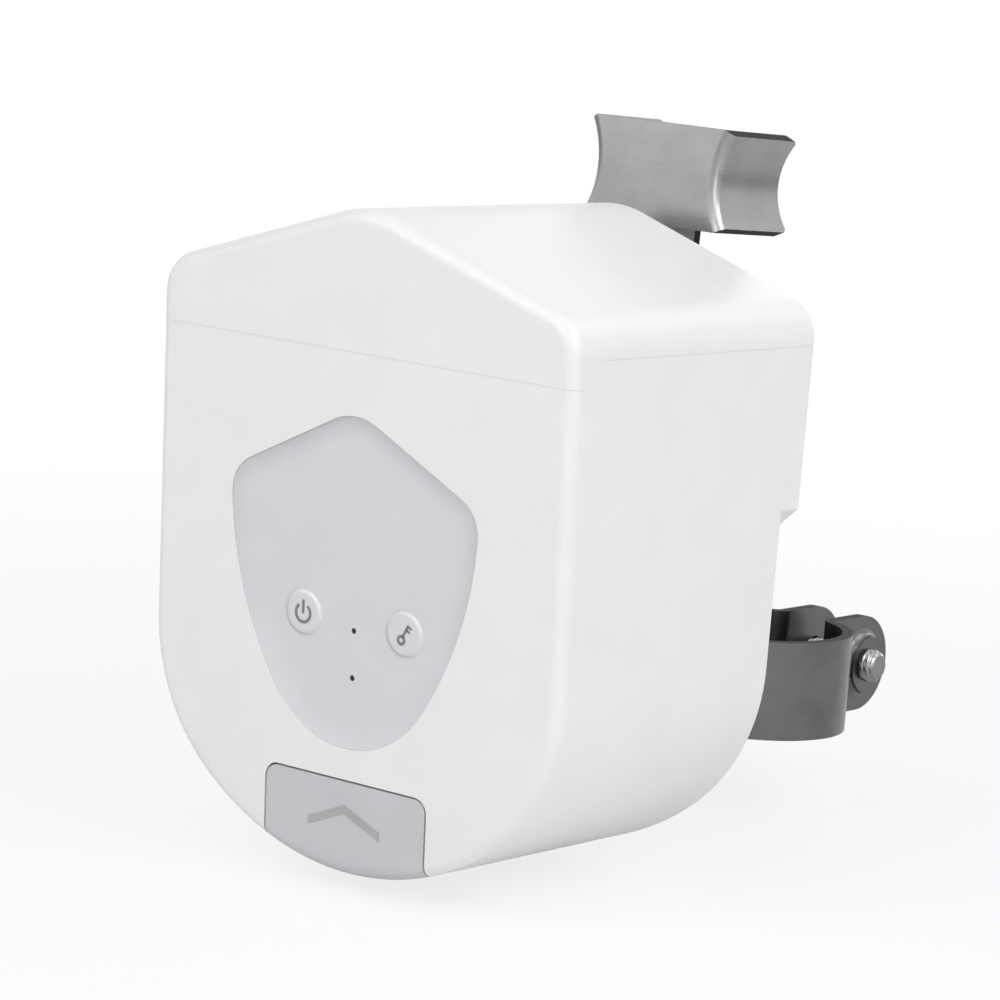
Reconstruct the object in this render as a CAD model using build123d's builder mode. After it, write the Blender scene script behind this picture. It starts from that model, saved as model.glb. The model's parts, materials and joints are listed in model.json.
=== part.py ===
"""Valve controller: a motor unit clamped to a pipe, which turns the lever of a ball valve.

The origin is on the axis of the pipe, at mid height of the clamp band. +X is to the right for
someone who faces the control panel, +Y is away from that person and +Z is up, along the pipe.
All lengths are in millimetres.
"""

import math
import os

from build123d import *

os.makedirs("parts", exist_ok=True)

# Shared clearances
cut_overrun = 4.0
seam_gap = 0.2
fixed_gap = 0.05
running_gap = 0.06
button_gap = 0.2
release_gap = 0.35
insert_gap = 0.3

# Pipe clamp
pipe_diameter = 32.0
band_thick = 2.0
band_height = 17.8
ear_gap = 8.4
ear_reach = 27.0
clamp_bolt_diameter = 6.0
clamp_bolt_length = 18.0
clamp_bolt_hole = 6.6
bolt_head_diameter = 10.0
bolt_head_height = 6.0
bolt_key_size = 5.0
bolt_tip_chamfer = 0.8
clamp_washer_diameter = 12.0
clamp_washer_thick = 1.2
ear_collar_diameter = 10.5
ear_collar_height = 2.0
ear_flare = 1.8
ear_bend_radius = 1.6

# Housing outline, seen from the front
body_width = 85.0
roof_rise_share = 0.5412
roof_slope = 18.0
ridge_radius = 18.5
shoulder_radius = 7.0
body_drop = 85.5
bottom_reach = 22.0
bottom_arc_share = 0.8588
side_radius_share = 0.7765

# Housing, front to back
body_depth = 65.0
bulge_depth = 5.0
standoff = 54.5
face_tilt = 3.9
wall = 2.2
front_fillet = 2.2

# Seam between cap and shell, and where the gear bulge ends at the sides
seam_step = 4.4
seam_step_start = 3.2
seam_step_end = 6.6
bulge_drop = 22.7
bulge_slant_run = 8.0
bulge_slant_angle = 44.0

# Control panel, in the plane of the tilted front face
panel_recess = 0.9
panel_thick = 1.0
panel_floor = 1.5
panel_apex_drop = 8.9
panel_corner_drop = 22.0
panel_width_share = 0.6071
panel_side_width_share = 0.8682
panel_side_share = 0.4324
panel_tip_margin = 3.0
panel_apex_radius = 5.0
panel_corner_radius = 4.0
panel_tip_radius = 17.0
panel_gap = 0.1
panel_pad_margin = 2.5

# Buttons and light holes on the panel
button_spacing_share = 0.814
button_drop_share = 0.4856
button_diameter = 7.7
button_rise = 0.3
button_travel = 0.4
button_edge_fillet = 0.25
button_flange_diameter = 10.6
button_flange_thick = 0.8
button_stem_diameter = 3.0
light_below_button = 1.3
hole_spacing_share = 0.173
light_hole_diameter = 1.0
light_pipe_diameter = 2.2

# Circuit board behind the panel
board_depth = 10.0
board_thick = 1.6
board_side_reach = 1.2
board_top_drop = 13.0
board_tip_margin = 8.1
board_corner_radius = 3.0
switch_size = 6.0
switch_height = 3.6
plunger_diameter = 3.4
plunger_height = 0.7
light_chip_size = 1.6
light_chip_height = 0.6
radio_width = 16.0
radio_length = 20.0
radio_height = 2.6
radio_base_thick = 0.8
radio_below_top = 13.0
buzzer_diameter = 9.0
buzzer_height = 4.2
board_screw_diameter = 2.2
board_screw_head = 4.4
board_screw_head_height = 1.5
board_post_diameter = 5.6
board_screw_grip = 6.0

# Release button: a rocker with the latch arm in one piece
release_width_share = 0.3906
release_reach = 15.4
release_corner_radius = 2.2
release_wrap = 14.0
release_wall = 2.2
release_press = 7.0
release_pin_diameter = 3.0
release_pin_height = -4.0
release_pin_depth = 5.6
release_eye_diameter = 6.6
release_ear_thick = 2.5
latch_half_width = 5.5
latch_thick = 3.0
latch_hook_length = 2.4
latch_hook_drop = 3.0
spring_diameter = 6.0
spring_wire = 0.8
spring_height = 12.0
spring_turns = 6

# Coupling between housing and clamp
tongue_half_width = 9.0
tongue_top = -3.4
tongue_thick = 6.0
tongue_reach = 12.5
tongue_notch = 3.4
coupling_half_width = 17.0
coupling_half_height = 13.5
coupling_corner_radius = 4.0
coupling_thick = 5.0
arm_half_width = 8.0
arm_sheet = 2.0
arm_flange_half_width = 16.8
arm_flange_half_height = 9.5
coupling_screw_spacing = 24.8
coupling_screw_diameter = 4.0
coupling_screw_head = 7.6
coupling_screw_head_height = 2.4
coupling_screw_length = 6.0

# Wrench on the output shaft
shaft_drop = 13.5
shaft_diameter = 8.0
shoulder_diameter = 13.0
shaft_square = 6.4
wrench_offset = 11.25
wrench_sheet = 1.8
wrench_half_width = 8.3
wrench_bend_rise = 12.0
wrench_lean = 3.0
wrench_fold_radius = 6.0
wrench_reach = 41.6
grip_half_height = 8.75
grip_half_width = 15.5
grip_depth = 20.5
grip_wall = 2.0
grip_waist = 2.5
grip_rear_waist = 1.8
grip_bend_radius = 1.8
grip_bevel_width = 2.0
grip_bevel_height = 1.2
wrench_thread_diameter = 6.0
wrench_washer_diameter = 12.0
wrench_washer_thick = 1.4
wrench_nut_size = 10.0
wrench_nut_height = 5.0
wrench_thread_spare = 1.0

# Gear train, from the motor to the output shaft
pressure_angle = 25.0
addendum_share = 1.0
dedendum_share = 1.25
gear_backlash = 0.12
first_module_share = 1 / 170
motor_pinion_teeth = 10
first_wheel_teeth = 40
second_module_share = 6 / 850
first_pinion_teeth = 12
second_wheel_teeth = 42
output_module_share = 8 / 850
second_pinion_teeth = 12
output_teeth = 48
second_gear_angle = 160.0
first_gear_angle = 45.0
motor_angle = -15.0
gear_pin_diameter = 2.0
wheel_face = 4.0
output_face = 6.0
layer_gap = 0.8
plate_gap = 0.5
switch_space = 5.25
gear_hub_diameter = 12.0
gear_rim = 2.2
gear_web_recess = 1.8
output_gear_gap = 0.7
motor_shaft_diameter = 2.0

# Gearbox plates and motor
plate_thick = 2.5
gear_space = 17.5
plate_inset = 1.6
plate_reach = 20.8
cover_gap = 0.3
pillar_diameter = 7.0
pillar_places_share = ((0.341, 0.785), (0.706, 0.58), (0.706, 0.181), (-0.753, 0.198))
gearbox_screw_diameter = 2.6
gearbox_screw_head = 5.0
gearbox_screw_head_height = 1.8
gearbox_screw_length = 8.0
motor_diameter = 24.4
motor_room = 41.0
motor_nose_diameter = 7.0
motor_nose_length = 2.0
motor_cap_diameter = 18.0
motor_cap_length = 2.0

# Rear cover
shaft_boss_diameter = 22.0
shaft_boss_height = 4.5
bush_flange_diameter = 14.0
bush_diameter = 11.0
bush_flange_thick = 1.0
seal_diameter = 14.0
seal_thick = 2.2
shelf_half_width = 7.0
shelf_thick = 2.0
shelf_length = 32.0
cover_screw_diameter = 3.0
cover_screw_head = 5.6
cover_screw_head_height = 2.0
cover_screw_length = 10.0
cover_boss_diameter = 7.4
cover_boss_length = 14.0
cover_screw_rise = 4.0
cover_screw_low = 4.0
inlet_side_share = 0.6118
inlet_height_share = 0.268
inlet_width = 9.0
inlet_length = 13.0
inlet_collar_diameter = 8.0
inlet_bore_diameter = 5.6
inlet_pin_diameter = 2.0
inlet_bore_depth = 9.0
inlet_lip = 0.5
position_switch_width = 8.2
position_switch_height = 6.5
position_switch_thick = 3.0
switch_tip_length = 0.8
switch_tip_width = 1.6
cam_diameter = 14.0
cam_reach = 9.5
cam_lobe_width = 4.0
cam_thick = 3.0

# Places worked out from the sizes above
half_width = body_width / 2
seam_height = body_drop - bottom_reach
shaft_height = seam_height - shaft_drop
side_drop = body_drop - bottom_arc_share * half_width
side_radius = side_radius_share * half_width
release_half_width = release_width_share * half_width
release_drop = body_drop - release_reach
motor_length = body_depth - motor_room
roof_rise = roof_rise_share * half_width
panel_half_width = panel_width_share * half_width
panel_side_half_width = panel_side_width_share * panel_half_width
panel_tip_drop = release_drop - panel_tip_margin
panel_side_drop = panel_corner_drop + panel_side_share * (panel_tip_drop - panel_corner_drop)
button_spacing = button_spacing_share * panel_half_width
button_drop = panel_corner_drop + button_drop_share * (panel_tip_drop - panel_corner_drop)
light_drop = button_drop + light_below_button
buzzer_hole_drop = light_drop + hole_spacing_share * (panel_tip_drop - panel_corner_drop)
board_half_width = panel_half_width + board_side_reach
board_bottom_drop = panel_tip_drop - board_tip_margin
radio_drop = board_top_drop + radio_below_top
grip_height = shaft_height + wrench_reach
first_module = first_module_share * body_width
second_module = second_module_share * body_width
output_module = output_module_share * body_width
plate_bottom = shaft_height - plate_reach
cover_screw_heights = (shaft_height + cover_screw_rise, cover_screw_low)
inlet_side = -inlet_side_share * half_width
inlet_height = inlet_height_share * shaft_height
rear_y = -standoff
back_y = rear_y - bulge_depth
front_y = rear_y - body_depth
bottom_z = seam_height - body_drop
lean_tan = math.tan(math.radians(face_tilt))
face_cos = math.cos(math.radians(face_tilt))
face_sin = math.sin(math.radians(face_tilt))
face = Plane(
    origin=(0, front_y, seam_height),
    x_dir=(1, 0, 0),
    z_dir=(0, -face_cos, -face_sin),
)
band_outer = pipe_diameter / 2 + band_thick
bulge_z = seam_height - bulge_drop


def upright(y):
    """Plane that faces the front, at depth y, with X to the right and Z up."""
    return Plane.XZ.offset(-y)


def face_y(z, depth):
    """Depth in Y of the point at height z that lies depth behind the front face."""
    return front_y + depth / face_cos + (seam_height - z) * lean_tan


def housing_outline(inset):
    """Gabled shield seen from the front: roof, sides, two corner arcs and the bottom arc."""
    apex = seam_height + roof_rise + ridge_radius * (1 / math.cos(math.radians(roof_slope)) - 1)
    shoulder = apex - half_width * math.tan(math.radians(roof_slope))
    arc_start = seam_height - side_drop
    arc_drop = body_drop - side_drop
    centre_x = half_width - side_radius
    spare = arc_drop - side_radius
    lift = (centre_x**2 - spare**2) / (2 * spare)
    bottom_radius = lift + arc_drop
    turn = math.atan2(centre_x, lift)
    join = (bottom_radius * math.sin(turn), arc_start + lift - bottom_radius * math.cos(turn))
    halfway = (math.pi / 2 + turn) / 2
    corner = (
        centre_x + side_radius * math.sin(halfway),
        arc_start - side_radius * math.cos(halfway),
    )
    with BuildSketch() as outline:
        with BuildLine():
            Line((0, apex), (half_width, shoulder))
            Line((half_width, shoulder), (half_width, arc_start))
            ThreePointArc((half_width, arc_start), corner, join)
            half_turn = turn / 2
            ThreePointArc(
                join,
                (bottom_radius * math.sin(half_turn),
                 arc_start + lift - bottom_radius * math.cos(half_turn)),
                (0, bottom_z),
            )
            mirror(about=Plane.YZ)
        make_face()
        tops = outline.vertices().sort_by(Axis.Y)
        fillet(tops[-1], radius=ridge_radius)
        shoulders = [v for v in outline.vertices() if abs(abs(v.X) - half_width) < fixed_gap]
        fillet([v for v in shoulders if v.Y > seam_height], radius=shoulder_radius)
        if inset:
            offset(amount=-inset)
    return outline.sketch


def housing_block(inset, rear, rounded):
    """Solid of the housing from the tilted front face back to rear, drawn in by inset."""
    with BuildPart(mode=Mode.PRIVATE) as block:
        with BuildSketch(upright(rear)):
            add(housing_outline(inset))
        extrude(amount=body_depth + 2 * bulge_depth)
        split(bisect_by=face.offset(-inset), keep=Keep.BOTTOM)
        if rounded:
            fillet(block.faces().sort_by(Axis.Y)[0].edges(), radius=front_fillet)
    return block.part


def above_seam(lift):
    """Space above the stepped seam, raised by lift."""
    start = front_y + seam_step_start
    end = front_y + seam_step_end
    low = seam_height + lift
    high = seam_height + seam_step + lift
    top = seam_height + roof_rise + cut_overrun
    ahead = front_y - bulge_depth - cut_overrun
    behind = rear_y + cut_overrun
    with BuildPart(mode=Mode.PRIVATE) as space:
        with BuildSketch(Plane.YZ):
            with BuildLine():
                Polyline(
                    (ahead, low), (start, low), (end, high), (behind, high),
                    (behind, top), (ahead, top), close=True,
                )
            make_face()
        extrude(amount=half_width + cut_overrun, both=True)
    return space.part


def below_bulge(drop, margin):
    """Space behind the shallower lower half of the housing, under the gear bulge."""
    edge = bulge_z - drop
    low = edge - bulge_slant_run * math.tan(math.radians(bulge_slant_angle))
    inner = half_width - bulge_slant_run
    outer = half_width + cut_overrun
    base = bottom_z - cut_overrun
    with BuildPart(mode=Mode.PRIVATE) as space:
        with BuildSketch(upright(rear_y + cut_overrun)):
            with BuildLine():
                Polyline(
                    (-outer, base), (-outer, edge), (-half_width, edge), (-inner, low),
                    (inner, low), (half_width, edge), (outer, edge), (outer, base), close=True,
                )
            make_face()
        extrude(amount=bulge_depth + cut_overrun - margin)
    return space.part


def panel_outline(inset):
    """Shield of the control panel on the front face, with the seam at zero, drawn in by inset."""
    share = (panel_half_width - inset) / panel_half_width
    middle = (panel_apex_drop + panel_tip_drop) / 2

    def place(across, drop):
        return (across * share, (middle - drop) * share - middle)

    corner = place(panel_half_width, panel_corner_drop)
    with BuildSketch() as outline:
        with BuildLine():
            Line(place(0, panel_apex_drop), corner)
            ThreePointArc(
                corner, place(panel_side_half_width, panel_side_drop), place(0, panel_tip_drop)
            )
            mirror(about=Plane.YZ)
        make_face()
        ends = outline.vertices().sort_by(Axis.Y)
        fillet(ends[-1], radius=panel_apex_radius * share)
        fillet(outline.vertices().sort_by(Axis.Y)[0], radius=panel_tip_radius * share)
        corners = [v for v in outline.vertices() if abs(v.X) > corner[0] - panel_gap]
        fillet(corners, radius=panel_corner_radius * share)
    return outline.sketch


def release_outline(margin):
    """Outline of the release button on the front face, grown by margin."""
    low = -body_drop - cut_overrun
    high = -release_drop + margin
    side = release_half_width + margin
    with BuildSketch() as outline:
        with BuildLine():
            Polyline((-side, low), (-side, high), (side, high), (side, low), close=True)
        make_face()
        fillet(outline.vertices().group_by(Axis.Y)[-1], radius=release_corner_radius + margin)
    return outline.sketch


outer_block = housing_block(0, rear_y, True)
inner_block = housing_block(wall, rear_y + cut_overrun, False)
button_places = ((-button_spacing / 2, -button_drop), (button_spacing / 2, -button_drop))
light_places = ((0, -light_drop), (0, -buzzer_hole_drop))
cover_screw_places = []
for screw_height in cover_screw_heights:
    arc_rise = max(seam_height - side_drop - screw_height, 0)
    side = half_width - side_radius + math.sqrt(side_radius**2 - arc_rise**2)
    reach = side - wall - cover_boss_diameter / 2 + fixed_gap
    cover_screw_places += [(-reach, screw_height), (reach, screw_height)]
upper_places = [place for place in cover_screw_places if place[1] > bulge_z]
board_places = [
    (side * (board_half_width - board_post_diameter / 2), -drop)
    for side in (-1, 1)
    for drop in (board_top_drop + board_post_diameter / 2, board_bottom_drop - board_post_diameter / 2)
]
pin_y = face_y(release_pin_height, release_pin_depth)
rocker_half_width = release_half_width / 2 + release_wall / 2
ear_x = rocker_half_width + insert_gap

# Top cap: the gabled roof with its apron, above the stepped seam
with BuildPart() as top_cap:
    add(outer_block)
    add(inner_block, mode=Mode.SUBTRACT)
    add(above_seam(seam_gap / 2), mode=Mode.INTERSECT)
top_cap.part.label = "top_cap"
export_step(top_cap.part, "parts/top_cap.step")

# Main shell: front wall, sides and underside in one moulding, open at the back
with BuildPart() as main_shell:
    add(outer_block)
    add(inner_block, mode=Mode.SUBTRACT)
    with BuildSketch(face.offset(-wall)):
        add(panel_outline(-panel_pad_margin))
    extrude(amount=-(panel_recess + panel_thick + panel_floor - wall))
    with BuildSketch(face.offset(-wall)):
        with Locations(*board_places):
            Circle(board_post_diameter / 2)
    extrude(amount=-(board_depth - wall))
    for place in cover_screw_places:
        boss_rear = back_y - wall if place[1] < bulge_z else rear_y - wall
        with BuildSketch(upright(boss_rear)):
            with Locations(place):
                Circle(cover_boss_diameter / 2)
        extrude(amount=cover_boss_length)
    for side in (-1, 1):
        with BuildSketch(Plane.YZ.offset(side * (ear_x + release_ear_thick / 2))):
            ear_front = face_y(release_pin_height, wall / 2)
            with Locations(((ear_front + pin_y) / 2, release_pin_height)):
                Rectangle(pin_y - ear_front, release_eye_diameter)
            with Locations((pin_y, release_pin_height)):
                Circle(release_eye_diameter / 2)
                Circle(release_pin_diameter / 2 + fixed_gap, mode=Mode.SUBTRACT)
        extrude(amount=release_ear_thick / 2, both=True)
    add(above_seam(-seam_gap / 2), mode=Mode.SUBTRACT)
    add(below_bulge(0, 0), mode=Mode.SUBTRACT)
    with BuildSketch(face):
        add(panel_outline(0))
    extrude(amount=-(panel_recess + panel_thick), mode=Mode.SUBTRACT)
    with BuildSketch(face):
        with Locations(*button_places):
            Circle(button_diameter / 2 + button_gap)
    extrude(amount=-board_depth, mode=Mode.SUBTRACT)
    with BuildSketch(face):
        with Locations(*light_places):
            Circle(light_pipe_diameter / 2 + button_gap)
    extrude(amount=-board_depth, mode=Mode.SUBTRACT)
    with BuildSketch(face.offset(-board_depth - cut_overrun)):
        with Locations(*board_places):
            Circle(board_screw_diameter / 2 + fixed_gap)
    extrude(amount=cut_overrun + board_screw_grip, mode=Mode.SUBTRACT)
    for place in cover_screw_places:
        boss_rear = back_y - wall if place[1] < bulge_z else rear_y - wall
        with BuildSketch(upright(boss_rear + cut_overrun)):
            with Locations(place):
                Circle(cover_screw_diameter / 2 + fixed_gap)
        extrude(amount=cover_screw_length + cut_overrun, mode=Mode.SUBTRACT)
    with BuildSketch(face.offset(cut_overrun)):
        add(release_outline(release_gap))
    extrude(amount=-(release_wrap + release_gap + release_wall + cut_overrun), mode=Mode.SUBTRACT)
main_shell.part.label = "main_shell"
export_step(main_shell.part, "parts/main_shell.step")

# Control panel: the grey shield set into the front
with BuildPart() as control_panel:
    with BuildSketch(face.offset(-panel_recess)):
        add(panel_outline(panel_gap))
    extrude(amount=-panel_thick)
    with BuildSketch(face):
        with Locations(*button_places):
            Circle(button_diameter / 2 + button_gap)
    extrude(amount=-board_depth, mode=Mode.SUBTRACT)
    with BuildSketch(face):
        with Locations(*light_places):
            Circle(light_hole_diameter / 2)
    extrude(amount=-board_depth, mode=Mode.SUBTRACT)
control_panel.part.label = "control_panel"
export_step(control_panel.part, "parts/control_panel.step")

# Buttons: round cap, flange behind the front wall and a stem that reaches the switch
cap_depth = panel_recess - button_rise
floor_depth = panel_recess + panel_thick + panel_floor
stem_depth = board_depth - switch_height - plunger_height - button_travel - fixed_gap


def panel_button(place):
    """Round push button at its place on the panel."""
    with BuildPart(mode=Mode.PRIVATE) as button:
        with BuildSketch(face.offset(-cap_depth)):
            with Locations(place):
                Circle(button_diameter / 2)
        extrude(amount=-(floor_depth + running_gap - cap_depth))
        fillet(button.faces().sort_by(Axis.Y)[0].edges(), radius=button_edge_fillet)
        with BuildSketch(face.offset(-(floor_depth + running_gap))):
            with Locations(place):
                Circle(button_flange_diameter / 2)
        extrude(amount=-button_flange_thick)
        with BuildSketch(face.offset(-(floor_depth + running_gap))):
            with Locations(place):
                Circle(button_stem_diameter / 2)
        extrude(amount=-(stem_depth - floor_depth - running_gap))
    return button.part


for name, place in zip(("control_button", "reset_button"), button_places):
    with BuildPart() as button:
        add(panel_button(place))
    button.part.label = name
    export_step(button.part, f"parts/{name}.step")

# Circuit board, parallel to the tilted front
with BuildPart() as circuit_board:
    with BuildSketch(face.offset(-board_depth)):
        with Locations((0, -(board_top_drop + board_bottom_drop) / 2)):
            RectangleRounded(
                2 * board_half_width, board_bottom_drop - board_top_drop, board_corner_radius
            )
        with Locations(*board_places):
            Circle(board_screw_diameter / 2 + fixed_gap, mode=Mode.SUBTRACT)
    extrude(amount=-board_thick)
circuit_board.part.label = "circuit_board"
export_step(circuit_board.part, "parts/circuit_board.step")

# Push switches under the two buttons
with BuildPart() as button_switches:
    with BuildSketch(face.offset(-board_depth)):
        with Locations(*button_places):
            Rectangle(switch_size, switch_size)
    extrude(amount=switch_height)
    with BuildSketch(face.offset(switch_height - board_depth)):
        with Locations(*button_places):
            Circle(plunger_diameter / 2)
    extrude(amount=plunger_height)
button_switches.part.label = "button_switches"
export_step(button_switches.part, "parts/button_switches.step")

# Status light on the board, and the clear rod that brings its light to the panel
with BuildPart() as status_light:
    with BuildSketch(face.offset(-board_depth)):
        with Locations(light_places[0]):
            Rectangle(light_chip_size, light_chip_size)
    extrude(amount=light_chip_height)
status_light.part.label = "status_light"
export_step(status_light.part, "parts/status_light.step")

with BuildPart() as light_pipe:
    with BuildSketch(face.offset(-(panel_recess + panel_thick + fixed_gap))):
        with Locations(light_places[0]):
            Circle(light_pipe_diameter / 2)
    pipe_length = board_depth - panel_recess - panel_thick - light_chip_height - button_gap
    extrude(amount=-pipe_length)
light_pipe.part.label = "light_pipe"
export_step(light_pipe.part, "parts/light_pipe.step")

# Buzzer behind the lower hole
with BuildPart() as buzzer:
    with BuildSketch(face.offset(-board_depth)):
        with Locations(light_places[1]):
            Circle(buzzer_diameter / 2)
    extrude(amount=buzzer_height)
    with BuildSketch(face.offset(buzzer_height - board_depth)):
        with Locations(light_places[1]):
            Circle(light_pipe_diameter / 2)
    extrude(amount=-buzzer_height / 2, mode=Mode.SUBTRACT)
buzzer.part.label = "buzzer"
export_step(buzzer.part, "parts/buzzer.step")

# Radio module on the back of the board
with BuildPart() as radio_module:
    board_back = board_depth + board_thick
    with BuildSketch(face.offset(-board_back)):
        with Locations((0, -radio_drop)):
            Rectangle(radio_width, radio_length)
    extrude(amount=-radio_base_thick)
    can_margin = 2 * radio_base_thick
    with BuildSketch(face.offset(-board_back - radio_base_thick)):
        with Locations((0, -radio_drop - can_margin)):
            Rectangle(radio_width - can_margin, radio_length - 2 * can_margin)
    extrude(amount=-(radio_height - radio_base_thick))
radio_module.part.label = "radio_module"
export_step(radio_module.part, "parts/radio_module.step")

# Board screws, into the four posts of the shell
with BuildPart() as board_screws:
    with BuildSketch(face.offset(-board_back)):
        with Locations(*board_places):
            Circle(board_screw_head / 2)
    extrude(amount=-board_screw_head_height)
    with BuildSketch(face.offset(-board_back)):
        with Locations(*board_places):
            Circle(board_screw_diameter / 2)
    extrude(amount=board_screw_grip + board_thick - fixed_gap)
board_screws.part.label = "board_screws"
export_step(board_screws.part, "parts/board_screws.step")

# Release button: grey corner of the housing on a pivot, with the latch arm behind it
latch_bottom = tongue_top + layer_gap
latch_top = latch_bottom + latch_thick
hook_rear = back_y - wall - layer_gap
notch_rear = hook_rear + (tongue_notch - latch_hook_length) / 2
web_places = [side * (release_half_width / 2) for side in (-1, 1)]
with BuildPart() as release_button:
    with BuildSketch(face.offset(cut_overrun)):
        add(release_outline(0))
    extrude(amount=-(release_wrap + cut_overrun))
    add(outer_block, mode=Mode.INTERSECT)
    add(housing_block(release_wall, rear_y, False), mode=Mode.SUBTRACT)
    for web_x in web_places:
        web_low = seam_height - body_drop + release_wall + release_corner_radius
        with BuildSketch(Plane.YZ.offset(web_x)):
            with BuildLine():
                Polyline(
                    (face_y(-release_drop + seam_height - release_corner_radius, release_wall / 2),
                     seam_height - release_drop - release_corner_radius),
                    (pin_y, release_pin_height + release_eye_diameter / 2),
                    (pin_y + release_eye_diameter / 2, release_pin_height),
                    (face_y(web_low, release_wall * 2), web_low),
                    (face_y(web_low, release_wall / 2), web_low),
                    close=True,
                )
            make_face()
        extrude(amount=release_wall / 2, both=True)
    with BuildSketch(Plane.YZ):
        with Locations((pin_y, release_pin_height)):
            Circle(release_eye_diameter / 2)
    extrude(amount=rocker_half_width, both=True)
    with BuildSketch(Plane.YZ):
        with BuildLine():
            Polyline(
                (pin_y, latch_bottom), (pin_y, latch_top), (hook_rear, latch_top),
                (hook_rear, latch_bottom - latch_hook_drop),
                (hook_rear - latch_hook_length, latch_bottom - latch_hook_drop),
                (hook_rear - latch_hook_length, latch_bottom), close=True,
            )
        make_face()
    extrude(amount=latch_half_width, both=True)
    with BuildSketch(Plane.YZ):
        with Locations((pin_y, release_pin_height)):
            Circle(release_pin_diameter / 2 + running_gap)
    extrude(amount=release_half_width + cut_overrun, both=True, mode=Mode.SUBTRACT)
release_button.part.label = "release_button"
export_step(release_button.part, "parts/release_button.step")

with BuildPart() as release_pin:
    with BuildSketch(Plane.YZ):
        with Locations((pin_y, release_pin_height)):
            Circle(release_pin_diameter / 2)
    extrude(amount=ear_x + release_ear_thick, both=True)
release_pin.part.label = "release_pin"
export_step(release_pin.part, "parts/release_pin.step")

# Return spring between the latch arm and the shelf of the rear cover
shelf_z = latch_top + spring_height
spring_y = back_y - wall - shelf_length + spring_diameter
with BuildPart() as release_spring:
    with BuildSketch(Plane.XY.offset(latch_top)):
        with Locations((0, spring_y)):
            Circle(spring_diameter / 2)
            Circle(spring_diameter / 2 - spring_wire, mode=Mode.SUBTRACT)
    extrude(amount=spring_height)
release_spring.part.label = "release_spring"
export_step(release_spring.part, "parts/release_spring.step")

# Coupling plate: seats against the back of the housing, its tongue held by the latch hook
with BuildPart() as coupling_plate:
    with BuildSketch(upright(back_y + coupling_thick)):
        RectangleRounded(
            2 * coupling_half_width, 2 * coupling_half_height, coupling_corner_radius
        )
    extrude(amount=coupling_thick - fixed_gap)
    with BuildSketch(upright(back_y + fixed_gap)):
        with Locations((0, tongue_top - tongue_thick / 2)):
            Rectangle(2 * tongue_half_width, tongue_thick)
    extrude(amount=tongue_reach)
    with BuildSketch(Plane.YZ):
        notch_y = notch_rear - tongue_notch / 2
        with Locations((notch_y, tongue_top)):
            Rectangle(tongue_notch, 2 * (latch_hook_drop - layer_gap / 2))
    extrude(amount=tongue_half_width + cut_overrun, both=True, mode=Mode.SUBTRACT)
    with BuildSketch(upright(back_y + coupling_thick)):
        with Locations((-coupling_screw_spacing / 2, 0), (coupling_screw_spacing / 2, 0)):
            Circle(coupling_screw_diameter / 2 + fixed_gap)
    extrude(amount=coupling_thick, mode=Mode.SUBTRACT)
coupling_plate.part.label = "coupling_plate"
export_step(coupling_plate.part, "parts/coupling_plate.step")

# Mount arm: folded channel from the coupling plate to the clamp band
flange_front = back_y + coupling_thick
with BuildPart() as mount_arm:
    with BuildSketch(upright(flange_front + arm_sheet)):
        RectangleRounded(
            2 * arm_flange_half_width, 2 * arm_flange_half_height, coupling_corner_radius
        )
        with Locations((-coupling_screw_spacing / 2, 0), (coupling_screw_spacing / 2, 0)):
            Circle(coupling_screw_diameter / 2 + button_gap, mode=Mode.SUBTRACT)
    extrude(amount=arm_sheet)
    with BuildSketch(upright(0)):
        Rectangle(2 * arm_half_width, 2 * arm_half_width)
        with Locations((0, -arm_sheet)):
            Rectangle(
                2 * (arm_half_width - arm_sheet), 2 * arm_half_width, mode=Mode.SUBTRACT
            )
    extrude(amount=-(flange_front + arm_sheet))
    with BuildSketch(Plane.XY.offset(-band_height)):
        Circle(band_outer + fixed_gap)
    extrude(amount=2 * band_height, mode=Mode.SUBTRACT)
mount_arm.part.label = "mount_arm"
export_step(mount_arm.part, "parts/mount_arm.step")

with BuildPart() as coupling_screws:
    with BuildSketch(upright(flange_front + arm_sheet)):
        with Locations((-coupling_screw_spacing / 2, 0), (coupling_screw_spacing / 2, 0)):
            Circle(coupling_screw_head / 2)
    extrude(amount=-coupling_screw_head_height)
    with BuildSketch(upright(flange_front + arm_sheet)):
        with Locations((-coupling_screw_spacing / 2, 0), (coupling_screw_spacing / 2, 0)):
            Circle(coupling_screw_diameter / 2)
    extrude(amount=coupling_screw_length)
coupling_screws.part.label = "coupling_screws"
export_step(coupling_screws.part, "parts/coupling_screws.step")

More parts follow.
